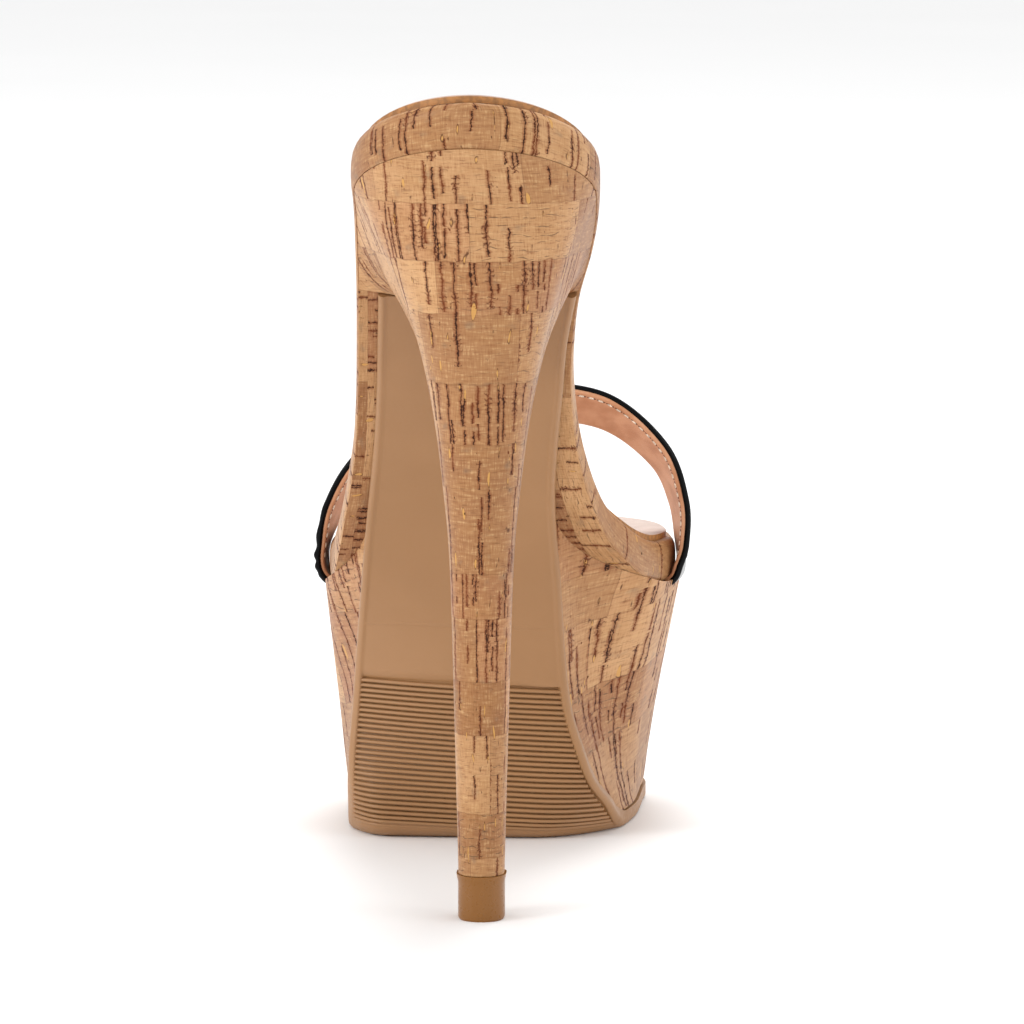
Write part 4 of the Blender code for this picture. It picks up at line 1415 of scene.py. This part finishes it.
# %% Heel
def make_heel():
    qs = [0.42 * (1 - math.cos(math.pi / 2 * i / 12)) for i in range(12)] + spaced(0.42, 0.9, 0.06)
    qs += [0.94, 0.97, 0.99, 1.0]
    ts = [-1, -0.85, -0.6, -0.3, 0, 0.3, 0.6, 0.85, 1]
    last = len(heel_sections())
    levels = spaced(0, last, 0.1)
    round_way = {}
    for side in (-1, 1):
        for k, level in enumerate(levels):
            ring = [heel_place(0.0, 0, level)] + [heel_place(q, side, level) for q in qs]
            travelled = lengths_along(ring)[1:]
            wide = smooth((level - 5.0) / 3.0)
            fan = lerp(1.0, 46.0 / max(travelled[-1], 1.0), 0.35 * (1 - wide))
            round_way[side, k] = [value * fan for value in travelled]

    def chart(kind, i, j, k):
        point = heel_place(qs[i], ts[j], levels[k])
        if kind in ("lateral", "medial", "start"):
            side = 1 if kind == "medial" or (kind == "start" and ts[j] > 0) else -1
            return side * round_way[side, k][i] + 1500.0, point.z
        if kind == "end":
            return point.x + 1600.0, point.z
        return point.x + 1700.0, point.y

    return slab("heel_column", qs, ts, levels, heel_place, chart, [cork], sharp=50.0)


heel_column = settle(make_heel(), "cork", "heel")

# %% [markdown]
# ## The heel lift
# The lift is the small block of hard rubber that meets the floor and can be renewed. It is a plain
# prism with a rounded back, a hair wider than the heel where the two meet, and it is a little glossy.

# %% Heel lift
def make_lift():
    def place(q, t, h):
        lip = LIFT_LIP * smooth((h - 0.8) / 0.2) - 0.3 * max(0.0, 1 - h / 0.05)
        return heel_section(lift_row(LIFT_HEIGHT * h, lip), q, t)

    qs = [0.5 * (1 - math.cos(math.pi / 2 * i / 12)) for i in range(12)] + spaced(0.5, 1.0, 0.05)
    ts = [-1, -0.5, 0, 0.5, 1]
    hs = [0, 0.03, 0.06, 0.3, 0.6, 0.8, 0.84, 0.9, 0.96, 1]
    return slab("lift_block", qs, ts, hs, place, lambda kind, i, j, k: (qs[i] * 20, hs[k] * 10),
                [lift_rubber], sharp=50.0)


lift_block = settle(make_lift(), "lift_rubber", "heel_lift")

# %% [markdown]
# ## The strap
# The upper is one arched band. Outside it is patent leather folded over both edges, and inside a
# soft lining is stitched to it. Its ends go down between the footbed and the platform, where they
# are glued. The two rails give the rear and the front edge of the band. Shell and lining are slabs
# between the same rails, at different depths in its wall.

# %% Rails of the strap
def bed_at(y):
    """The distance along the footbed whose top lies at one Y."""
    return first_place(0.0, BED.length, lambda s: BED.at(s)[0].x >= y)


# The foot of the strap: its rear and front edge, how far the wall stands out above the turn, then
# how far the turn is drawn in, how far it reaches under the footbed and its two heights
STRAP_FEET = ((STRAP_REAR, 0.7), (STRAP_REAR + STRAP_WIDTH, -0.4))
TURN_IN = 0.95
TURN_REACH = 3.2
TURN_HEIGHTS = (3.2, 0.2)


def strap_rails():
    """The middle of the strap's wall along its rear and its front edge, as two lists of points."""
    seam = BED.below(bed_at(STRAP_REAR), FOOTBED_THICKNESS).y
    lateral, medial = bed_edges(bed_at(STRAP_REAR))
    half_span = (medial - lateral) / 2 + STRAP_BULGE - STRAP_WALL / 2
    rear = []
    front = []
    for share, up, back, tilt, draw_in in STRAP_ROWS:
        angle = math.radians(tilt)
        start = Vector((share * half_span, STRAP_REAR - back, seam + up * STRAP_HEIGHT))
        reach = Vector((0, math.cos(angle), -math.sin(angle))) * STRAP_WIDTH
        rear.append(start)
        front.append(start + reach + Vector((draw_in, 0, 0)))
    for side in (0, 1):
        sign = 1 if side else -1
        for rail, (y, flare) in zip((rear, front), STRAP_FEET):
            edge = bed_edges(bed_at(y))[side]
            seam = BED.below(bed_at(y), FOOTBED_THICKNESS).y
            level = seam - GAP - STRAP_WALL / 2
            wall = edge + sign * (3 * GAP + STRAP_WALL / 2)
            turn = wall - sign * (TURN_IN - flare / 2)
            tuck = [Vector((wall + sign * flare, y, seam + TURN_HEIGHTS[0])),
                    Vector((turn, y, seam + TURN_HEIGHTS[1])),
                    Vector((wall - sign * TURN_REACH, y, level)),
                    Vector((wall - sign * STRAP_TUCK, y, level))]
            if side:
                rail.extend(tuck)
            else:
                rail[0:0] = tuck[::-1]
    return rear, front


RAILS = strap_rails()
RAIL_LAST = len(RAILS[0]) - 1
SMALL = 0.02


def strap_point(u, v):
    """A point in the middle of the strap's wall, u along it and v from its rear to its front."""
    keys = list(range(RAIL_LAST + 1))
    return lerp(through(keys, RAILS[0], u), through(keys, RAILS[1], u), v)


def strap_out(u, v):
    """The direction out of the strap at one place."""
    before = strap_point(max(u - SMALL, 0), v)
    after = strap_point(min(u + SMALL, RAIL_LAST), v)
    forward = strap_point(u, 1) - strap_point(u, 0)
    return (after - before).cross(forward).normalized()


print("strap rails of", len(RAILS[0]), "points")

# %% [markdown]
# ## Shell and lining of the strap
# The patent shell has rounded edges, and the lining ends a hair inside them.
# Near its lateral end the folded leather puckers where it bends in to the seam. A few small waves,
# which fade out up the arch, show that.

# %% Strap shell and lining
STRAP_STEP = 12.0
PUCKER_START = 2.0
PUCKER_END = 5.2
PUCKER_RISE = 0.26
PUCKER_WAVES = 4.5
FOLD_WIDTH = 0.7
FOLD_SWELL = 0.35
SHELL_DEPTH = STRAP_WALL - 0.6
STRAP_LINING_INSETS = (0.25, 0.2)
STRAP_LINING_PROUD = 0.12


def pucker(u, v):
    """Small waves across the band near its lateral end."""
    if not PUCKER_START < u < PUCKER_END:
        return 0.0
    share = (u - PUCKER_START) / (PUCKER_END - PUCKER_START)
    wave = math.sin(share * math.pi) * math.sin(share * math.pi * 2 * PUCKER_WAVES)
    return PUCKER_RISE * wave * (1 - 0.6 * v)


def make_strap_shell():
    us = spaced(0, 4, 0.08)
    us += spaced(4, RAIL_LAST - 4, 0.08)[1:]
    us += spaced(RAIL_LAST - 4, RAIL_LAST, 0.08)[1:]
    vs = [0, 0.02, 0.05, 0.1, 0.2, 0.35, 0.5, 0.65, 0.8, 0.9, 0.95, 0.98, 1]
    hs = [0, 0.15, 0.35, 0.65, 0.85, 1]

    def place(u, v, h):
        side = min(v, 1 - v) * STRAP_WIDTH
        fold = max(0.0, 1 - side / FOLD_WIDTH)
        swell = FOLD_SWELL * (1 - math.sqrt(max(0.0, 1 - fold * fold)))
        inner = STRAP_WALL / 2 - SHELL_DEPTH
        outer = STRAP_WALL / 2 - swell + pucker(u, v)
        bulge = FOLD_SWELL * (1 - abs(2 * h - 1)**2) * (fold > 0.9)
        v_out = v + (bulge if v > 0.5 else -bulge) / STRAP_WIDTH * (v in (0, 1))
        return strap_point(u, v_out) + strap_out(u, v) * lerp(inner + swell * 0.3, outer, h)

    def chart(kind, i, j, k):
        return us[i] * STRAP_STEP, vs[j] * STRAP_WIDTH

    return slab("strap_shell", us, vs, hs, place, chart, [patent], sharp=70.0)


def make_strap_lining():
    us = spaced(0.6, RAIL_LAST - 0.6, 0.1)
    vs = [0, 0.03, 0.08, 0.15, 0.3, 0.5, 0.7, 0.85, 0.92, 0.97, 1]
    hs = [0, 0.5, 1]
    rear_inset, front_inset = STRAP_LINING_INSETS

    def place(u, v, h):
        width = STRAP_WIDTH - rear_inset - front_inset
        at = (rear_inset + v * width) / STRAP_WIDTH
        side = min(v, 1 - v) * width
        edge = max(0.0, 1 - side / 0.4)
        inner = -STRAP_WALL / 2 - STRAP_LINING_PROUD + 0.3 * (1 - math.sqrt(max(0.0, 1 - edge * edge)))
        return strap_point(u, at) + strap_out(u, at) * lerp(inner, -STRAP_WALL / 2 + 0.62, h)

    def chart(kind, i, j, k):
        return us[i] * STRAP_STEP, vs[j] * STRAP_WIDTH

    return slab("strap_lining", us, vs, hs, place, chart, [lining], sharp=60.0)


strap_shell = settle(make_strap_shell(), "patent_strap", "vamp_strap")
strap_lining = settle(make_strap_lining(), "lining_leather", "vamp_strap")

# %% [markdown]
# ## Stitches by Geometry Nodes
# A row of lockstitches holds shell and lining together, 1.5 mm from the edge. Seen from inside the
# thread is pale, and outside it is black. A stitch is a short bar with round ends. The tree
# resamples a guide line at the stitch length, sets one bar at each point and turns it along the line.

# %% The stitch tree
STITCH_PITCH = 2.5
STITCH_INSET = 1.5
STITCH_THICKNESS = 0.6


def stitch_tree(finish):
    """Sets a short bar at each step along every guide line."""
    tree = NodeTree("stitch_row", {"Pitch": 0.0025, "Length": 0.0019, "Thickness": 0.0004})
    ways = tree.node("GeometryNodeMeshToCurve", {"Mesh": tree.inlet.outputs["Geometry"]})
    steps = tree.node("GeometryNodeResampleCurve", {"Curve": ways.outputs[0],
                                                    "Length": tree.inlet.outputs["Pitch"]},
                      mode="LENGTH")
    bar = tree.node("GeometryNodeMeshUVSphere", {"Segments": 8, "Rings": 6, "Radius": 0.5})
    size = tree.node("ShaderNodeCombineXYZ", {0: tree.inlet.outputs["Thickness"],
                                               1: tree.inlet.outputs["Thickness"],
                                               2: tree.inlet.outputs["Length"]})
    along = tree.node("GeometryNodeInputTangent")
    turn = tree.node("FunctionNodeAlignRotationToVector", {"Vector": along.outputs[0]}, axis="Z")
    placing = {"Points": steps.outputs[0], "Instance": bar.outputs[0],
               "Rotation": turn.outputs[0], "Scale": size.outputs[0]}
    rows = tree.node("GeometryNodeInstanceOnPoints", placing)
    smooth_shade = tree.node("GeometryNodeSetShadeSmooth", {"Geometry": rows.outputs[0]})
    tree.close(smooth_shade.outputs[0], finish)
    return tree


def stitch_row(name, finish, from_rear, depth, first, last, length):
    """One row of stitches at a distance from the strap's rear edge and a depth in its wall."""
    v = from_rear / STRAP_WIDTH
    line = [strap_point(u, v) + strap_out(u, v) * depth for u in spaced(first, last, 0.08)]
    return stitch_tree(finish).grow(guide_lines(name + "_way", [line]), name,
                                    {"Pitch": STITCH_PITCH * MM, "Length": length * MM,
                                     "Thickness": STITCH_THICKNESS * MM})


print("stitches every %.1f mm" % STITCH_PITCH)

# %% [markdown]
# ## Four rows of stitches
# Inside, each pale stitch lies on a slightly longer brown bar, which is painted shade in the needle
# holes and the dent round the thread.
# Outside, two black rows follow both edges, and the rear one starts past the puckers.

# %% Stitch rows
STITCH_END = 3.6
FAR_EDGE = STRAP_WIDTH - STITCH_INSET
inside = -STRAP_WALL / 2 - 0.14
outside = STRAP_WALL / 2 - 0.16
STITCH_ROWS = [
    # name, thread, slot, from the rear edge, depth, first, length
    ("stitches_inside", thread_pale, "lining_leather", STITCH_INSET, inside, STITCH_END, 1.9),
    # A brown bar under each pale stitch: painted shade in the needle holes and the dent.
    ("stitch_hole_shade", hole_shade, "lining_leather", STITCH_INSET, inside + 0.05, STITCH_END, 2.45),
    ("stitches_rear", thread_black, "patent_strap", STITCH_INSET, outside, STITCH_END + 1.8, 1.9),
    ("stitches_front", thread_black, "patent_strap", FAR_EDGE, outside, STITCH_END, 1.9),
]
for name, thread, slot_name, from_rear, depth, first, length in STITCH_ROWS:
    row = stitch_row(name, thread, from_rear, depth, first, RAIL_LAST - STITCH_END, length)
    settle(row, slot_name)

# %% [markdown]
# ## Camera
# The photograph was taken from behind, from a little above the heel, with a long lens. The camera
# here stands at the same place and looks at the middle of the shoe. A long lens keeps the near heel
# and the far toe at nearly the same size, as they are in the picture.

# %% Camera
CAMERA_PLACE = Vector((53.0, -1330.0, 276.0))
CAMERA_YAW = 1.94
CAMERA_PITCH = -7.61
CAMERA_LENS = 209.84


def make_camera():
    data = bpy.data.cameras.new("camera")
    data.sensor_fit = "HORIZONTAL"
    data.sensor_width = 36.0
    data.lens = CAMERA_LENS
    data.clip_start = 0.05
    data.clip_end = 20.0
    camera = bpy.data.objects.new("camera", data)
    camera.location = placed(CAMERA_PLACE)
    camera.rotation_euler = (math.radians(90 + CAMERA_PITCH), 0.0, math.radians(CAMERA_YAW))
    bpy.context.scene.collection.objects.link(camera)
    bpy.context.scene.camera = camera


make_camera()
print("lens %.0f mm" % CAMERA_LENS)

# %% [markdown]
# ## Floor and light
# The shoe stands on a white floor in a white room. Most light comes from all round. A broad lamp
# overhead models the shapes, one from the left brightens that side, and a weak one from the right
# keeps the other side from going flat. Large lamps give the soft shadow where the sole meets the
# floor.

# %% Floor and light
FLOOR_HALF = 60.0
WORLD_STRENGTH = 0.95
AIM = Vector((0.0, 0.0, 0.08))
LAMPS = [
    # name, place and size in metres, power in watts
    ("key_left", (-1.6, -1.0, 0.9), 0.7, 16.0),
    ("fill_right", (1.6, -0.5, 0.5), 0.5, 4.5),
    ("overhead", (0.1, 0.6, 2.4), 0.9, 32.0),
]


def make_floor():
    recipe = Recipe("floor_white", 0.6)
    where = recipe.node("TexCoord").outputs["Object"]
    cloud = recipe.noise(where, 3.0, 2.0)
    recipe.colour(recipe.mix(cloud, ink(246, 246, 246), ink(250, 250, 250)))
    mesh = bpy.data.meshes.new("floor")
    corners = [(x * FLOOR_HALF, y * FLOOR_HALF, 0) for x, y in ((-1, -1), (1, -1), (1, 1), (-1, 1))]
    mesh.from_pydata(corners, [], [(0, 1, 2, 3)])
    mesh.materials.append(recipe.material)
    floor = bpy.data.objects.new("floor", mesh)
    bpy.context.scene.collection.objects.link(floor)
    floor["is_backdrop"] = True


def soft_light(name, place, size, power):
    """A square area light that faces the middle of the shoe."""
    data = bpy.data.lights.new(name, "AREA")
    data.shape = "SQUARE"
    data.size = size
    data.energy = power
    lamp = bpy.data.objects.new(name, data)
    lamp.location = place
    lamp.rotation_euler = (AIM - Vector(place)).to_track_quat("-Z", "Y").to_euler()
    bpy.context.scene.collection.objects.link(lamp)


def make_world(strength):
    world = bpy.data.worlds.new("studio")
    world.use_nodes = True
    background = world.node_tree.nodes["Background"]
    background.inputs["Color"].default_value = (1.0, 1.0, 1.0, 1.0)
    background.inputs["Strength"].default_value = strength
    bpy.context.scene.world = world


make_floor()
for lamp in LAMPS:
    soft_light(*lamp)
make_world(WORLD_STRENGTH)
bpy.context.scene.view_settings.view_transform = "Standard"
print("lamps:", [lamp[0] for lamp in LAMPS])

# %% [markdown]
# ## Sizes and the end
# The sizes of the CAD model's box and of the finished shoe's box are printed in millimetres.

# %% Sizes and finish
seen_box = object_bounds()
sizes = {"cad": [list(corner) for corner in cad_box],
         "visual": [list(corner) for corner in seen_box]}
for label, box in sizes.items():
    print(label, [round((box[1][axis] - box[0][axis]) / MM, 1) for axis in range(3)], "mm")
